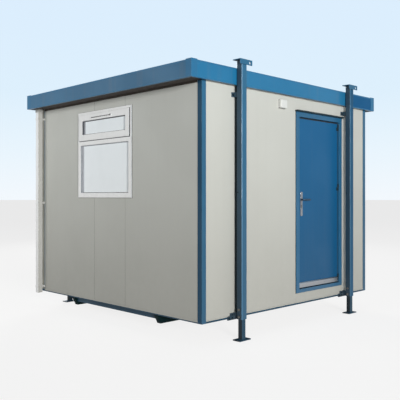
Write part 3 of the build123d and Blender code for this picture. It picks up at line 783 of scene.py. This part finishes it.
def build_chassis(steel):
    """Posts, rails, skids and cross members, with the welds that join the skids to the end rails."""
    # The corner posts' end-facing faces take a painted shade.
    dress("corner_posts", "painted", ("steel blue", "post side blue"), 0.0012, sideways)
    for node in ("base_side_rails", "base_end_rails"):
        dress(node, "painted", "base blue", 0.002)
    dress("skids", "painted", "skid black", 0.003)
    bm = copy_of("end_cross_members")
    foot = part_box("end_cross_members")[0].z
    for vert in bm.verts:
        if vert.co.z < foot + 0.001:
            vert.co.z += steel.member_lift
    piece(bm, "end_cross_members_painted", "base blue", "end_cross_members", 0.003, ["end_cross_members"])
    dress("floor_joists", "sawn", "timber along y", 0.002)
    inset = 0.004
    beads = []
    for skid_low, skid_high in solids_of("skids"):
        for rail_low, rail_high in solids_of("base_end_rails"):
            near, far = max(rail_low.x, skid_low.x) + inset, min(rail_high.x, skid_high.x) - inset
            beads += [((near, y, rail_low.z), (far, y, rail_low.z), steel.weld_size)
                      for y in (skid_low.y, skid_high.y)]
    group(weld, beads, "skid_welds", "dark steel", "skids", 0.0001)


def build_door(door):
    """The frame and leaf, the strip over them, the seal, a dark threshold that also paints the shadow under
    the bar, dark strips of painted shadow on the leaf's edges, the dark sealant round the frame, and the bar
    at the leaf's foot.
    """
    dress("door_frame", "painted", "frame blue", 0.002)
    dress("door_leaf", "painted", "door blue", 0.002)
    dress("door_drip_strip", "painted", "dark steel", 0.002)
    dress("door_weather_bar", "anodised", "silver", 0.0015)
    low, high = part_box("door_leaf")
    frame_low, frame_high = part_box("door_frame")
    gap = 0.004
    seal = ((low.x - gap, high.y + 0.0006, low.z - gap), (high.x + gap, high.y + gap + 0.0004, high.z + gap))
    group(ring, [(*seal, door.seal_width, Y)], "door_seal", "rubber", "door_frame")
    # The threshold is dark, which also paints the shadow under the weather bar.
    foot = low.z - gap
    plate = ((low.x - gap, frame_low.y - 0.0015, foot - 0.002), (high.x + gap, high.y + 0.002, foot + 0.0015))
    treads = [((low.x, y - 0.0015, foot), (high.x, y + 0.0015, foot + 0.0025))
              for y in (frame_low.y + 0.008, frame_low.y + 0.016)]
    group(block, [plate, *treads], "door_threshold", "dark steel", "door_frame", 0.0005)
    # Dark strips along the leaf's top and hinge edge: painted shadow of the frame.
    front, back, head = low.y - 0.0012, low.y + SUNK, high.z - door.head_strip
    strips = [((low.x + 0.002, front, head), (high.x - 0.002, back, high.z - 0.001)),
              ((high.x - 0.008, front, low.z + 0.002), (high.x - 0.002, back, head))]
    group(block, strips, "door_leaf_edge_strips", "rubber", "door_leaf", 0.0004)
    # Dark sealant round the door frame, which also paints the shade at the frame's proud sides.
    panel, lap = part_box("front_wall_left_panel")[0].y, 0.004
    bead = ((frame_low.x - lap, panel - 0.003, frame_low.z - lap),
            (frame_high.x + lap, panel + SUNK, frame_high.z + lap))
    group(ring, [(*bead, 0.006, Y)], "door_frame_sealant", "dark sealant", "door_frame")
    bar_low, bar_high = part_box("door_weather_bar")
    screws, margin = 4, 0.06
    pitch = (bar_high.x - bar_low.x - 2 * margin) / (screws - 1)
    rows = [((bar_low.x + margin + i * pitch, bar_low.y, bar_low.z + 0.022), (0, -1, 0), 0.0045, 0.0018)
            for i in range(screws)]
    group(dome, rows, "weather_bar_screws", "fixings", "door_weather_bar", 0.0002)


def build_hinges():
    """Both halves of the three hinges, with finials on the pins and screws in the leaf plates."""
    for node in ("door_leaf_hinges", "door_frame_hinges"):
        dress(node, "painted", "dark steel", 0.0008)
    leaf_face, margin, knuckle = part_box("door_leaf")[0].y, 0.009, 0.008
    screws = [((low.x + 0.006, leaf_face - 0.003, z), (0, -1, 0), 0.0032, 0.0012)
              for low, high in solids_of("door_leaf_hinges") for z in (low.z + margin, high.z - margin)]
    group(dome, screws, "hinge_screws", "dark steel", "door_leaf_hinges", 0.0002)
    finials = [((low.x + knuckle, low.y + knuckle, high.z), (0, 0, 1), knuckle * 0.9, 0.004)
               for low, high in solids_of("door_frame_hinges")]
    group(dome, finials, "hinge_finials", "dark steel", "door_frame_hinges", 0.0002)


def section_along(bm, face, shift):
    """Draws a capped section on by a shift, and returns the new end face."""
    drawn = draw_out(bm, [face], shift)
    bmesh.ops.delete(bm, geom=[face], context="FACES_ONLY")
    return next(item for item in drawn if isinstance(item, bmesh.types.BMFace))


def lever_arm(bm, spindle, side, face_y, reach, neck):
    """One lever: a neck out of the plate, a quarter bend, and a flattened grip with a rounded end."""
    radius, bend = 0.0095, 0.014
    made = bmesh.ops.create_circle(bm, cap_ends=True, segments=20, radius=radius)["verts"]
    bmesh.ops.transform(bm, matrix=turned_to((0, side, 0), (spindle.x, face_y, spindle.z)), verts=made)
    end = next(iter(made[0].link_faces))
    bmesh.ops.reverse_faces(bm, faces=[end])
    bmesh.ops.duplicate(bm, geom=[end])
    end = section_along(bm, end, (0, side * (neck - bend), 0))
    centre = (spindle.x + bend, face_y + side * (neck - bend), spindle.z)
    turn = bmesh.ops.spin(bm, geom=[end], cent=centre, axis=(0, 0, -side), dvec=(0, 0, 0), angle=math.pi / 2,
                          steps=8)
    bmesh.ops.delete(bm, geom=[end], context="FACES_ONLY")
    end = next(item for item in turn["geom_last"] if isinstance(item, bmesh.types.BMFace))
    sections = ((0.02, 1.2, 0.78), (reach - bend - 0.026, 1.0, 1.0), (0.004, 0.86, 0.86), (0.002, 0.6, 0.6))
    for shift, height, thickness in sections:
        end = section_along(bm, end, (shift, 0, 0))
        about = Matrix.Translation(-end.calc_center_median())
        bmesh.ops.scale(bm, vec=(1, thickness, height), space=about, verts=list(end.verts))


def build_door_furniture(door):
    """Long plates on both faces with key cylinders and screws, bent levers, and the latch in the edge."""
    dress("door_handle_plates", "anodised", "handle metal", 0.0018)
    low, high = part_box("door_leaf")
    spindle = Vector(next(joint for joint in frame["joints"] if joint["name"] == "lever_turn")["pos_m"])
    x, z = spindle.xz
    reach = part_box("door_lever")[1].x - x
    bm = bmesh.new()
    for side, face_y in ((-1, low.y), (1, high.y)):
        lever_arm(bm, spindle, side, face_y + side * 0.004, reach, 0.036)
    rod(bm, (x, low.y - 0.006, z), (x, high.y + 0.006, z), 0.004, sides=4)
    bmesh.ops.remove_doubles(bm, verts=bm.verts, dist=1e-6)
    piece(bm, "door_lever_bent", "lever metal", "door_lever", 0.0006, ["door_lever"])
    plate_low, plate_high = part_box("door_handle_plates")
    key_z, margin = z - door.cylinder_drop, 0.016
    tail_z = key_z - 0.021
    cylinders, slots, screws = bmesh.new(), [], []
    for side, plate_y in ((-1, plate_low.y), (1, plate_high.y)):
        near, far = plate_y - side * 0.002, plate_y + side * 0.003
        tail_far = far - side * 0.0002
        rod(cylinders, (x, near, key_z), (x, far, key_z), 0.0085)
        block(cylinders, (x - 0.005, near, tail_z), (x + 0.005, tail_far, key_z))
        rod(cylinders, (x, near, tail_z), (x, tail_far, tail_z), 0.005)
        # Dark strips for the keyways: painted shade in place of slots.
        slot_near, slot_far = far - side * SUNK, far + side * 0.0003
        slots.append(((x - 0.0011, slot_near, key_z - 0.004), (x + 0.0011, slot_far, key_z + 0.005)))
        screws += [((x, plate_y, screw_z), (0, side, 0), 0.004, 0.0015)
                   for screw_z in (plate_low.z + margin, plate_high.z - margin)]
    piece(cylinders, "key_cylinders", "fixings", "door_handle_plates", 0.0004)
    group(block, slots, "key_slots", "rubber", "door_handle_plates", 0.0001)
    group(dome, screws, "handle_plate_screws", "fixings", "door_handle_plates", 0.0002)
    middle = (low.y + high.y) / 2
    latch = [((low.x - 0.0008, middle - 0.010, key_z - 0.06), (low.x + SUNK, middle + 0.010, z + 0.06)),
             ((low.x - 0.0030, middle - 0.006, z - 0.012), (low.x, middle + 0.006, z + 0.012))]
    group(block, latch, "door_latch", "fixings", "door_leaf", 0.0005)


def build_window(window):
    """The white frame and vent sash, the panes with their gaskets, strips of painted shade by the panes and
    the sash, the seals, the vent and the handle.
    """
    # Faces that look towards the front take painted shade: grey on the frame, dark on the sash.
    outward = towards(0, -1, 0, limit=SQUARE_ON)
    dress("window_frame", "moulded", ("white plastic", "jamb grey"), 0.003, outward)
    dress("window_vent_sash", "moulded", ("white plastic", "reveal seal"), 0.004, outward)
    piece(copy_of("window_glass"), "window_panes", "glass", "window_glass", 0.0005, ["window_glass"])
    low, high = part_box("window_frame")
    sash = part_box("window_vent_sash")
    panes = sorted(solids_of("window_glass"), key=lambda pair: pair[0].z)
    build_gaskets(window, panes, sash)
    build_reveal_shades(window, panes)
    # Dark strips along the sash's front side and its foot: painted shadow of the sash on the frame.
    front, line = low.x - 0.0012, 0.008
    sash_y, sash_z = sash[0].y, sash[0].z
    seals = [((front, sash_y - line, sash_z - line), (low.x + SUNK, sash_y + 0.002, sash[1].z)),
             ((front, sash_y, sash_z - line), (low.x + SUNK, sash[1].y, sash_z + 0.002))]
    group(block, seals, "window_sash_seals", "reveal seal", "window_frame", 0.0006)
    pane_low, pane_high = panes[0]
    bead = ((pane_high.x + 0.0005, pane_low.y, pane_low.z), (high.x - 0.006, pane_high.y, pane_high.z))
    group(ring, [(*bead, 0.013, X)], "window_inner_beads", "white plastic", "window_frame", 0.003)
    # Sealant round the frame, darkened so that it also paints the frame's shadow on the wall.
    panel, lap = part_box("left_wall_front_panel")[0].x, 0.005
    bead = ((panel - 0.004, low.y - lap, low.z - lap), (panel + SUNK, high.y + lap, high.z + lap))
    group(ring, [(*bead, 0.008, X)], "window_sealant", "sealant", "window_frame", 0.0015)
    build_trickle_vent(window, sash)
    middle, spacing, half_width = (low.y + high.y) / 2, 0.3, 0.018
    caps = [((low.x - 0.004, y - half_width, low.z + 0.014), (low.x + SUNK, y + half_width, low.z + 0.026))
            for y in (middle - spacing, middle, middle + spacing)]
    group(block, caps, "window_drain_caps", "white plastic", "window_frame", 0.0015)
    build_window_handle(sash[1].x, middle, sash_z)


def build_gaskets(window, panes, sash):
    """Gaskets round both faces of each pane, and one in the gap round the sash."""
    proud, gap = 0.002, 0.002
    rows = []
    for low, high in panes:
        for front, back in ((low.x - proud, low.x + SUNK), (high.x - SUNK, high.x + proud)):
            rows.append(((front, low.y, low.z), (back, high.y, high.z), window.gasket, X))
    low, high = sash
    outer = ((low.x + 0.012, low.y - gap, low.z - gap), (high.x - 0.004, high.y + gap, high.z + gap))
    rows.append((*outer, gap * 1.5, X))
    group(ring, rows, "window_gaskets", "rubber", "window_frame", 0.0004)


def build_reveal_shades(window, panes):
    """Painted shade down the far side and along the head of each pane, as strips, with three thin steps
    beside the side one.
    """
    drop, step = 0.010, 0.008
    bm = bmesh.new()
    for low, high in panes:
        front, back = low.x - 0.003, low.x + SUNK
        edge_y, top_z = high.y - window.reveal, high.z - drop
        block(bm, (front, edge_y, low.z), (back, high.y, high.z))
        block(bm, (front, low.y, top_z), (back, edge_y, high.z))
        for i in range(3):
            y = edge_y - i * step
            block(bm, (low.x - 0.0024 + i * 0.0006, y - step, low.z), (back, y, top_z))
    lower, upper = (high for low, high in panes)

    def coat_for(face):
        spot = face.calc_center_median()
        beside = spot.y < upper.y - window.reveal and spot.z < upper.z - drop
        return 2 if spot.z < lower.z - drop else beside

    pick_coats(bm, coat_for)
    piece(bm, "window_reveal_seals", ("reveal seal", "pale seal", "mid seal"), "window_frame", 0.0002)


def build_trickle_vent(window, sash):
    """A slotted hood along the top rail of the sash, with its end catch. The slots are dark strips on the
    hood: painted shade in place of openings.
    """
    start_y, drop, height, slots = -0.053, 0.045, 0.020, 9
    end_y = start_y + window.vent_length
    face, z = sash[0].x, sash[1].z - drop
    front = face - 0.007
    hood = ((front, start_y, z - height / 2), (face + SUNK, end_y, z + height / 2))
    group(block, [hood], "trickle_vent_hood", "white plastic", "window_vent_sash", 0.002)
    # Dark strips for the slots: painted shade in place of openings.
    margin, rib = 0.015, 0.002
    pitch = (end_y - start_y - 2 * margin) / slots
    edges = [start_y + margin + i * pitch for i in range(slots)]
    rows = [((front - 0.0003, y + rib, z - 0.006), (front + SUNK, y + pitch - rib, z + 0.003)) for y in edges]
    rows.append(((front - 0.004, start_y + 0.002, z - 0.009), (front + SUNK, start_y + 0.018, z + 0.008)))
    group(block, rows, "trickle_vent_slots", "rubber", "window_vent_sash", 0.0002)


def build_window_handle(x, y, foot):
    """The handle on the inside of the vent sash: its plate, neck and grip."""
    bm = bmesh.new()
    block(bm, (x, y - 0.014, foot + 0.010), (x + 0.010, y + 0.014, foot + 0.062))
    rod(bm, (x + 0.008, y, foot + 0.036), (x + 0.030, y, foot + 0.036), 0.009)
    block(bm, (x + 0.022, y - 0.009, foot + 0.028), (x + 0.036, y + 0.105, foot + 0.046))
    piece(bm, "window_handle", "white plastic", "window_vent_sash", 0.003)


def build_sleeves(steel):
    """The sleeves: painted shade on the sides, a painted highlight beside the left ones' front corners, and
    deeper blue beside the door.
    """
    edges = sorted({round(low.x, 4) for low, high in solids_of("leg_sleeves")})
    bm = copy_of("leg_sleeves", [x + steel.rub_width for x in edges])

    def coat_for(face):
        spot = face.calc_center_median()
        right = int(spot.x > 0)
        # A band beside the front corner of each left sleeve takes a painted highlight; the sides take painted
        # shade.
        rubbed = spot.x < edges[right] + steel.rub_width and face.normal.y * spot.y > 0.2
        if sideways(face):
            return 1
        return (2, 0)[right] if rubbed else 3 * right

    pick_coats(bm, coat_for)
    blues = ("steel blue", "shaded blue", "rubbed blue", "deep blue")
    piece(bm, "leg_sleeves_painted", blues, "leg_sleeves", 0.0012, ["leg_sleeves"])


def build_spines():
    """The spines behind the sleeves, drawn on up to the fascias; the right-hand ones taper outwards and are
    near white, a painted light in place of lit wall.
    """
    bm = copy_of("leg_spines")
    spines = solids_of("leg_spines")
    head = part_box("side_fascias")[0].z - 0.0005
    for low, high in spines:
        block(bm, (low.x, low.y, high.z + 0.0505), (high.x, high.y, head))
    edge_x, outer_y = spines[-1][0].x, abs(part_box("leg_spines")[0].y)
    near, taper = 0.001, 0.018
    for vert in bm.verts:
        if abs(vert.co.x - edge_x) < near and abs(vert.co.y) > outer_y - near:
            vert.co.x += taper
    # The right-hand spines take the near-white painted light.
    pick_coats(bm, lambda face: face.calc_center_median().x > 0)
    piece(bm, "leg_spines_painted", ("dark steel", "pale strip"), "leg_spines", 0.002, ["leg_spines"])


def build_legs(steel):
    """Sleeves, spines, brackets, screws, jack legs and lifting angles, with their bolts and welds."""
    build_sleeves(steel)
    build_spines()
    # The leg brackets take the sleeves' painted shade all over.
    dress("leg_brackets", "painted", "shaded blue", 0.0015)
    dress("lifting_brackets", "painted", "steel blue", 0.0012)
    # Each jack leg's end-facing faces take a painted shade.
    for leg in LEGS:
        dress(f"jack_leg_{leg}", "painted", ("base blue", "dark leg side"), 0.0012, sideways)
    build_leg_fixings(steel)
    build_leg_welds(steel)


def build_leg_fixings(steel):
    """Hexagon locking screws in the sleeves, and bolts through the plates and lugs of the brackets."""
    head, shank = 0.012, 0.0078
    bars = []
    for low, high in solids_of("leg_locking_screws"):
        x, (y, z) = low.x + head, ((low + high) / 2).yz
        bars += [((low.x, y, z), (x, y, z), high.z - z, 6), ((x, y, z), (high.x, y, z), shank, 20)]
    node = "leg_locking_screws"
    group(rod, bars, f"{node}_plated", "fixings", node, 0.0008, [node])
    wall, post = abs(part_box("front_wall_left_panel")[0].y), abs(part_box("corner_posts")[0].y)
    size, side_bolt_z = steel.bolt_size, 1.53
    bolts = []
    for low, high in solids_of("leg_brackets"):
        out = math.copysign(1, low.y)
        foot_low, foot_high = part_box("jack_leg_front_left" if low.x < 0 else "jack_leg_front_right")
        x = (foot_low.x + foot_high.x) / 2
        if low.z > 1:
            bolts += [((x - 0.034, out * (wall + 0.006), (low.z + high.z) / 2), (0, out, 0), size),
                      ((x - 0.040, out * (wall + 0.078), side_bolt_z), (-1, 0, 0), size * 0.7)]
        else:
            bolts += [((x - 0.108, out * (post + 0.016), low.z + 0.020), (0, out, 0), size),
                      ((x - 0.062, out * (post + 0.016), low.z + 0.020), (0, out, 0), size),
                      ((x - 0.062, out * (post + 0.012), low.z + 0.054), (0, out, 0), size * 0.8)]
    group(bolt, bolts, "leg_bracket_bolts", "dark steel", "leg_brackets", 0.0006)


def build_leg_welds(steel):
    """Beads where each lifting angle sits on its sleeve, and round each jack leg on its foot plate."""
    size, inset = steel.weld_size, 0.008
    beads = []
    for low, high in solids_of("leg_sleeves"):
        outer, inner = (low.y, high.y) if low.y < 0 else (high.y, low.y)
        out, z = math.copysign(1, low.y), high.z
        beads.append(((low.x + inset, inner, z), (high.x - inset, inner, z), size))
        beads += [((x, outer - out * inset, z), (x, inner + out * inset, z), size) for x in (low.x, high.x)]
    group(weld, beads, "lifting_bracket_welds", "steel blue", "lifting_brackets", 0.0001)
    half, z = 0.028, 0.010
    reach = half - 0.005
    for leg in LEGS:
        low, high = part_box(f"jack_leg_{leg}")
        x, y = (low.x + high.x) / 2, (low.y + high.y) / 2
        beads = [((edge, y - reach, z), (edge, y + reach, z), size) for edge in (x - half, x + half)]
        beads += [((x - reach, edge, z), (x + reach, edge, z), size) for edge in (y - half, y + half)]
        group(weld, beads, f"foot_weld_{leg}", "base blue", f"jack_leg_{leg}", 0.0001)


def build_rainwater(rainwater):
    """The square downpipe with its head collar, its clips with screws, and the strip on the post behind; the
    strip, the collar and the faces of pipe and clips that look towards the front are painted shade.
    """
    # Faces that look towards the front take the pipe's painted shade.
    for node, edge in (("downpipe", 0.001), ("downpipe_clips", 0.0012)):
        dress(node, "moulded", ("pipe plastic", "weathered pipe"), edge, towards(0, -1, 0))
    low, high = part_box("downpipe")
    soffit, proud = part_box("soffits")[0].z, 0.003
    collar = ((low.x - proud, low.y - proud, soffit - rainwater.socket_height),
              (high.x + proud, high.y + proud, soffit - 0.0005))
    # The collar takes the pipe's painted shade all over.
    group(ring, [(*collar, 0.0032, Z)], "downpipe_collar", "weathered pipe", "downpipe")
    screws = []
    for clip_low, clip_high in solids_of("downpipe_clips"):
        middle = (clip_low + clip_high) / 2
        screws.append(((clip_high.x - 0.003, low.y + 0.004, middle.z), (-1, 0, 0), 0.004, 0.002))
        screws += [((x, clip_low.y, middle.z), (0, -1, 0), 0.0035, 0.0015)
                   for x in (clip_low.x + 0.012, middle.x + 0.01)]
    group(dome, screws, "downpipe_clip_screws", "fixings", "downpipe_clips", 0.0002)
    # A grey strip on the post's end face: painted shade between pipe and post.
    post_low, post_high = solids_of("corner_posts")[1]
    strip = ((post_low.x - 0.0015, post_low.y + 0.0005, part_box("base_end_rails")[1].z),
             (post_low.x + 0.0005, post_high.y - 0.001, soffit - 0.002))
    group(block, [strip], "downpipe_backing_strip", "cover strip", "corner_posts", 0.0005)


def build_lamp(lamp):
    """A bulkhead lamp: a base on the wall with ribs before it, a rounded cover and a dark gasket."""
    low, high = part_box("wall_light")
    front, inset, rim = high.y - lamp.base_depth, 0.004, 0.002
    ribs, rib, margin = 3, 0.004, 0.008
    pitch = (front - low.y) / (ribs + 1)
    rows = [((low.x, front, low.z), high)]
    for i in range(ribs):
        y = low.y + (i + 0.8) * pitch
        rows += [((x, y, low.z + margin), (x + way * (inset + SUNK), y + rib, high.z - margin))
                 for way, x in ((1, low.x), (-1, high.x))]
    group(block, rows, "wall_light_base", "lamp plastic", "wall_light", 0.0015, ["wall_light"])
    cover = ((low.x + inset, low.y, low.z + inset), (high.x - inset, front - 0.003, high.z - inset))
    made = group(block, [cover], "wall_light_cover", "lamp cover", "wall_light", 0.008)
    made.modifiers[0].segments = 4
    gasket = ((low.x + rim, front - 0.004, low.z + rim), (high.x - rim, front + SUNK, high.z - rim))
    group(block, [gasket], "wall_light_gasket", "rubber", "wall_light")


def build_indoors(indoors):
    """The covered floor, and the ceiling with strips over its joints."""
    dress("floor_deck", "covered", ("timber along x", "floor covering"), second=towards(0, 0, 1))
    dress("ceiling", "boards", "ceiling board")
    low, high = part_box("ceiling")
    boards, half_width, margin = math.ceil((high.x - low.x) / indoors.board_width), 0.018, 0.002
    joints = [low.x + i * (high.x - low.x) / boards for i in range(1, boards)]
    near, far = low.y + margin, high.y - margin
    strips = [((x - half_width, near, low.z - 0.003), (x + half_width, far, low.z + SUNK)) for x in joints]
    group(block, strips, "ceiling_joint_strips", "ceiling board", "ceiling")


# ---- stage ----
def seen_rays(tree):
    """One for a ray straight from the camera, off a gloss or through glass, and none for the others."""
    rays = add(tree, "LightPath").outputs
    seen = rays["Is Camera Ray"]
    for other in ("Is Glossy Ray", "Is Transmission Ray"):
        seen = add(tree, "Math", {0: seen, 1: rays[other]}, operation="MAXIMUM").outputs[0]
    return seen


def build_floor(stage):
    """A wide floor that takes the cabin's shadow and, seen directly, is a little darker far off."""
    bm = bmesh.new()
    bmesh.ops.create_circle(bm, cap_ends=True, segments=96, radius=225.0)
    mesh = bpy.data.meshes.new("studio_floor")
    bm.to_mesh(mesh)
    bm.free()
    floor = bpy.data.objects.new("studio_floor", mesh)
    bpy.context.scene.collection.objects.link(floor)
    material, tree, shader = start("Studio floor")
    place = add(tree, "TexCoord").outputs["Object"]
    distance = add(tree, "VectorMath", {0: place}, operation="LENGTH").outputs["Value"]
    seen = tinted(tree, ramp(tree, distance, 2.0, 30.0), (0.822, 0.822, 0.822), (0.785, 0.785, 0.787))
    direct = seen_rays(tree)
    tree.links.new(tinted(tree, direct, tuple(stage.floor), (0.2, 0.2, 0.2)), shader.inputs["Base Color"])
    shader.inputs["Roughness"].default_value = 1.0
    shader.inputs["Specular IOR Level"].default_value = 0.0
    tree.links.new(seen, shader.inputs["Emission Color"])
    tree.links.new(direct, shader.inputs["Emission Strength"])
    mesh.materials.append(material)


# The sky's colours stop changing at this share of its height, and lie at these shares of the part below it.
SKY_TOP = 0.27
SKY = ((0.0, (0.890, 0.940, 0.985)), (0.25, (0.820, 0.915, 0.985)), (0.6, (0.730, 0.870, 0.980)),
       (1.0, (0.715, 0.855, 0.985)))


def build_world(stage):
    """Soft light from all round; seen directly, a pale blue that fades to white at the horizon."""
    world = bpy.data.worlds.new("Studio sky")
    bpy.context.scene.world = world
    world.use_nodes = True
    tree = world.node_tree
    tree.nodes.clear()
    up = add(tree, "SeparateXYZ", {0: add(tree, "TexCoord").outputs["Generated"]}).outputs["Z"]
    height = add(tree, "MapRange", {"Value": up, "From Min": 0.0, "From Max": SKY_TOP}).outputs[0]
    sky = add(tree, "ValToRGB", {"Fac": height})
    stops = sky.color_ramp.elements
    for index, (place, tone) in enumerate(SKY):
        stop = stops[index] if index < 2 else stops.new(place)
        stop.position = place
        stop.color = (*tone, 1.0)
    direct = seen_rays(tree)
    soft = add(tree, "Background", {"Color": (0.97, 0.985, 1.0, 1.0), "Strength": stage.sky_level})
    seen = add(tree, "Background", {"Color": sky.outputs["Color"], "Strength": 1.0})
    both = add(tree, "MixShader", {0: direct, 1: soft.outputs[0], 2: seen.outputs[0]})
    add(tree, "OutputWorld", {"Surface": both.outputs[0]})


def soft_box(name, place, target, size, spread, energy):
    """A square lamp at a place, turned to a target and narrowed to a spread, that the camera doesn't see."""
    light = bpy.data.lights.new(name, "AREA")
    light.energy = energy
    light.size = size
    light.spread = math.radians(spread)
    light.color = (1.0, 0.99, 0.97)
    lamp = bpy.data.objects.new(name, light)
    bpy.context.scene.collection.objects.link(lamp)
    lamp.visible_camera = False
    lamp.location = place
    lamp.rotation_euler = (Vector(place) - Vector(target)).to_track_quat("Z", "Y").to_euler()


def build_lamps(stage):
    """A large lamp far off before the door side, a small one by the window end and a weak one behind."""
    soft_box("Key lamp", (-9.2, -18.5, 3.6), (0.0, -1.5, 1.8), 4.0, 110, stage.key_power)
    soft_box("Side lamp", (-6.2, 3.3, 3.2), (-1.5, 1.7, 2.2), 2.5, 72, stage.side_power)
    soft_box("Back lamp", (9.5, 12.0, 6.0), (0.5, 1.0, 1.4), 5.0, 100, stage.back_power)


def build_camera(stage):
    data = bpy.data.cameras.new("Camera")
    data.lens = stage.lens
    data.shift_y = stage.rise
    data.clip_end = 500.0
    camera = bpy.data.objects.new("Camera", data)
    bpy.context.scene.collection.objects.link(camera)
    camera.location = stage.camera_place
    heading = Vector((math.cos(stage.camera_heading), math.sin(stage.camera_heading), 0.0))
    camera.rotation_euler = heading.to_track_quat("-Z", "Y").to_euler()
    bpy.context.scene.camera = camera


# ---- operators ----
class CabinOperator:
    bl_options = {"REGISTER", "UNDO"}

    def execute(self, context):
        self.build(context.scene)
        return {"FINISHED"}


class CABIN_OT_walls(CabinOperator, bpy.types.Operator):
    """Clads the walls in coated panels and seals their joints"""
    bl_idname = "cabin.walls"
    bl_label = "Walls"

    def build(self, scene):
        build_walls(scene.cabin_walls)
        build_foot_flashings(scene.cabin_walls)
        build_joint_seals(scene.cabin_walls)


class CABIN_OT_roof(CabinOperator, bpy.types.Operator):
    """Finishes the fascias, the roof cover, the soffits and the gutter"""
    bl_idname = "cabin.roof"
    bl_label = "Roof"

    def build(self, scene):
        build_fascias(scene.cabin_roof)
        build_roof_cover(scene.cabin_roof)
        build_soffits(scene.cabin_roof)
        build_gutter()


class CABIN_OT_chassis(CabinOperator, bpy.types.Operator):
    """Finishes the posts, rails, skids and joists"""
    bl_idname = "cabin.chassis"
    bl_label = "Chassis"

    def build(self, scene):
        build_chassis(scene.cabin_steel)


class CABIN_OT_door(CabinOperator, bpy.types.Operator):
    """Finishes the door, its frame, hinges and seal"""
    bl_idname = "cabin.door"
    bl_label = "Door"

    def build(self, scene):
        build_door(scene.cabin_door)
        build_hinges()


class CABIN_OT_door_furniture(CabinOperator, bpy.types.Operator):
    """Makes the levers, plates, key cylinders and latch"""
    bl_idname = "cabin.door_furniture"
    bl_label = "Door furniture"

    def build(self, scene):
        build_door_furniture(scene.cabin_door)


class CABIN_OT_window(CabinOperator, bpy.types.Operator):
    """Finishes the window, its vent sash and its panes"""
    bl_idname = "cabin.window"
    bl_label = "Window"

    def build(self, scene):
        build_window(scene.cabin_window)


class CABIN_OT_legs(CabinOperator, bpy.types.Operator):
    """Finishes the jack legs with their sleeves, brackets and lifting angles"""
    bl_idname = "cabin.legs"
    bl_label = "Jack legs"

    def build(self, scene):
        build_legs(scene.cabin_steel)


class CABIN_OT_rainwater(CabinOperator, bpy.types.Operator):
    """Finishes the downpipe and its clips"""
    bl_idname = "cabin.rainwater"
    bl_label = "Rainwater"

    def build(self, scene):
        build_rainwater(scene.cabin_rainwater)


class CABIN_OT_lamp(CabinOperator, bpy.types.Operator):
    """Makes the lamp beside the door"""
    bl_idname = "cabin.lamp"
    bl_label = "Lamp"

    def build(self, scene):
        build_lamp(scene.cabin_lamp)


class CABIN_OT_indoors(CabinOperator, bpy.types.Operator):
    """Finishes the floor and the ceiling"""
    bl_idname = "cabin.indoors"
    bl_label = "Indoors"

    def build(self, scene):
        build_indoors(scene.cabin_indoors)


class CABIN_OT_stage(CabinOperator, bpy.types.Operator):
    """Sets the floor, the sky, the lamps and the camera"""
    bl_idname = "cabin.stage"
    bl_label = "Stage"

    def build(self, scene):
        for step in (build_floor, build_world, build_lamps, build_camera):
            step(scene.cabin_stage)
        scene.view_settings.view_transform = "Standard"


GROUPS = {
    "walls": (CabinWallSettings, ("walls",)),
    "roof": (CabinRoofSettings, ("roof",)),
    "steel": (CabinSteelSettings, ("chassis", "legs")),
    "door": (CabinDoorSettings, ("door", "door_furniture")),
    "window": (CabinWindowSettings, ("window",)),
    "rainwater": (CabinRainwaterSettings, ("rainwater",)),
    "lamp": (CabinLampSettings, ("lamp",)),
    "indoors": (CabinIndoorSettings, ("indoors",)),
    "stage": (CabinStageSettings, ("stage",)),
}


class CABIN_PT_sidebar(bpy.types.Panel):
    """Lists the cabin's pieces with their sizes and colours"""
    bl_idname = "CABIN_PT_sidebar"
    bl_label = "Portable site cabin"
    bl_space_type = "VIEW_3D"
    bl_region_type = "UI"
    bl_category = "Cabin"

    def draw(self, context):
        for name, (kind, operators) in GROUPS.items():
            box = self.layout.box()
            for operator in operators:
                box.operator("cabin." + operator)
            for label in kind.__annotations__:
                box.prop(getattr(context.scene, "cabin_" + name), label)


CLASSES = [kind for kind, _ in GROUPS.values()] + [
    CABIN_OT_walls, CABIN_OT_roof, CABIN_OT_chassis, CABIN_OT_door, CABIN_OT_door_furniture, CABIN_OT_window,
    CABIN_OT_legs, CABIN_OT_rainwater, CABIN_OT_lamp, CABIN_OT_indoors, CABIN_OT_stage, CABIN_PT_sidebar]


def register():
    for kind in CLASSES:
        bpy.utils.register_class(kind)
    for name, (kind, _) in GROUPS.items():
        setattr(bpy.types.Scene, "cabin_" + name, bpy.props.PointerProperty(type=kind))


def unregister():
    for name in GROUPS:
        delattr(bpy.types.Scene, "cabin_" + name)
    for kind in reversed(CLASSES):
        bpy.utils.unregister_class(kind)


def main():
    register()
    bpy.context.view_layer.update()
    for _, operators in GROUPS.values():
        for operator in operators:
            getattr(bpy.ops.cabin, operator)()


if __name__ == "__main__":
    main()
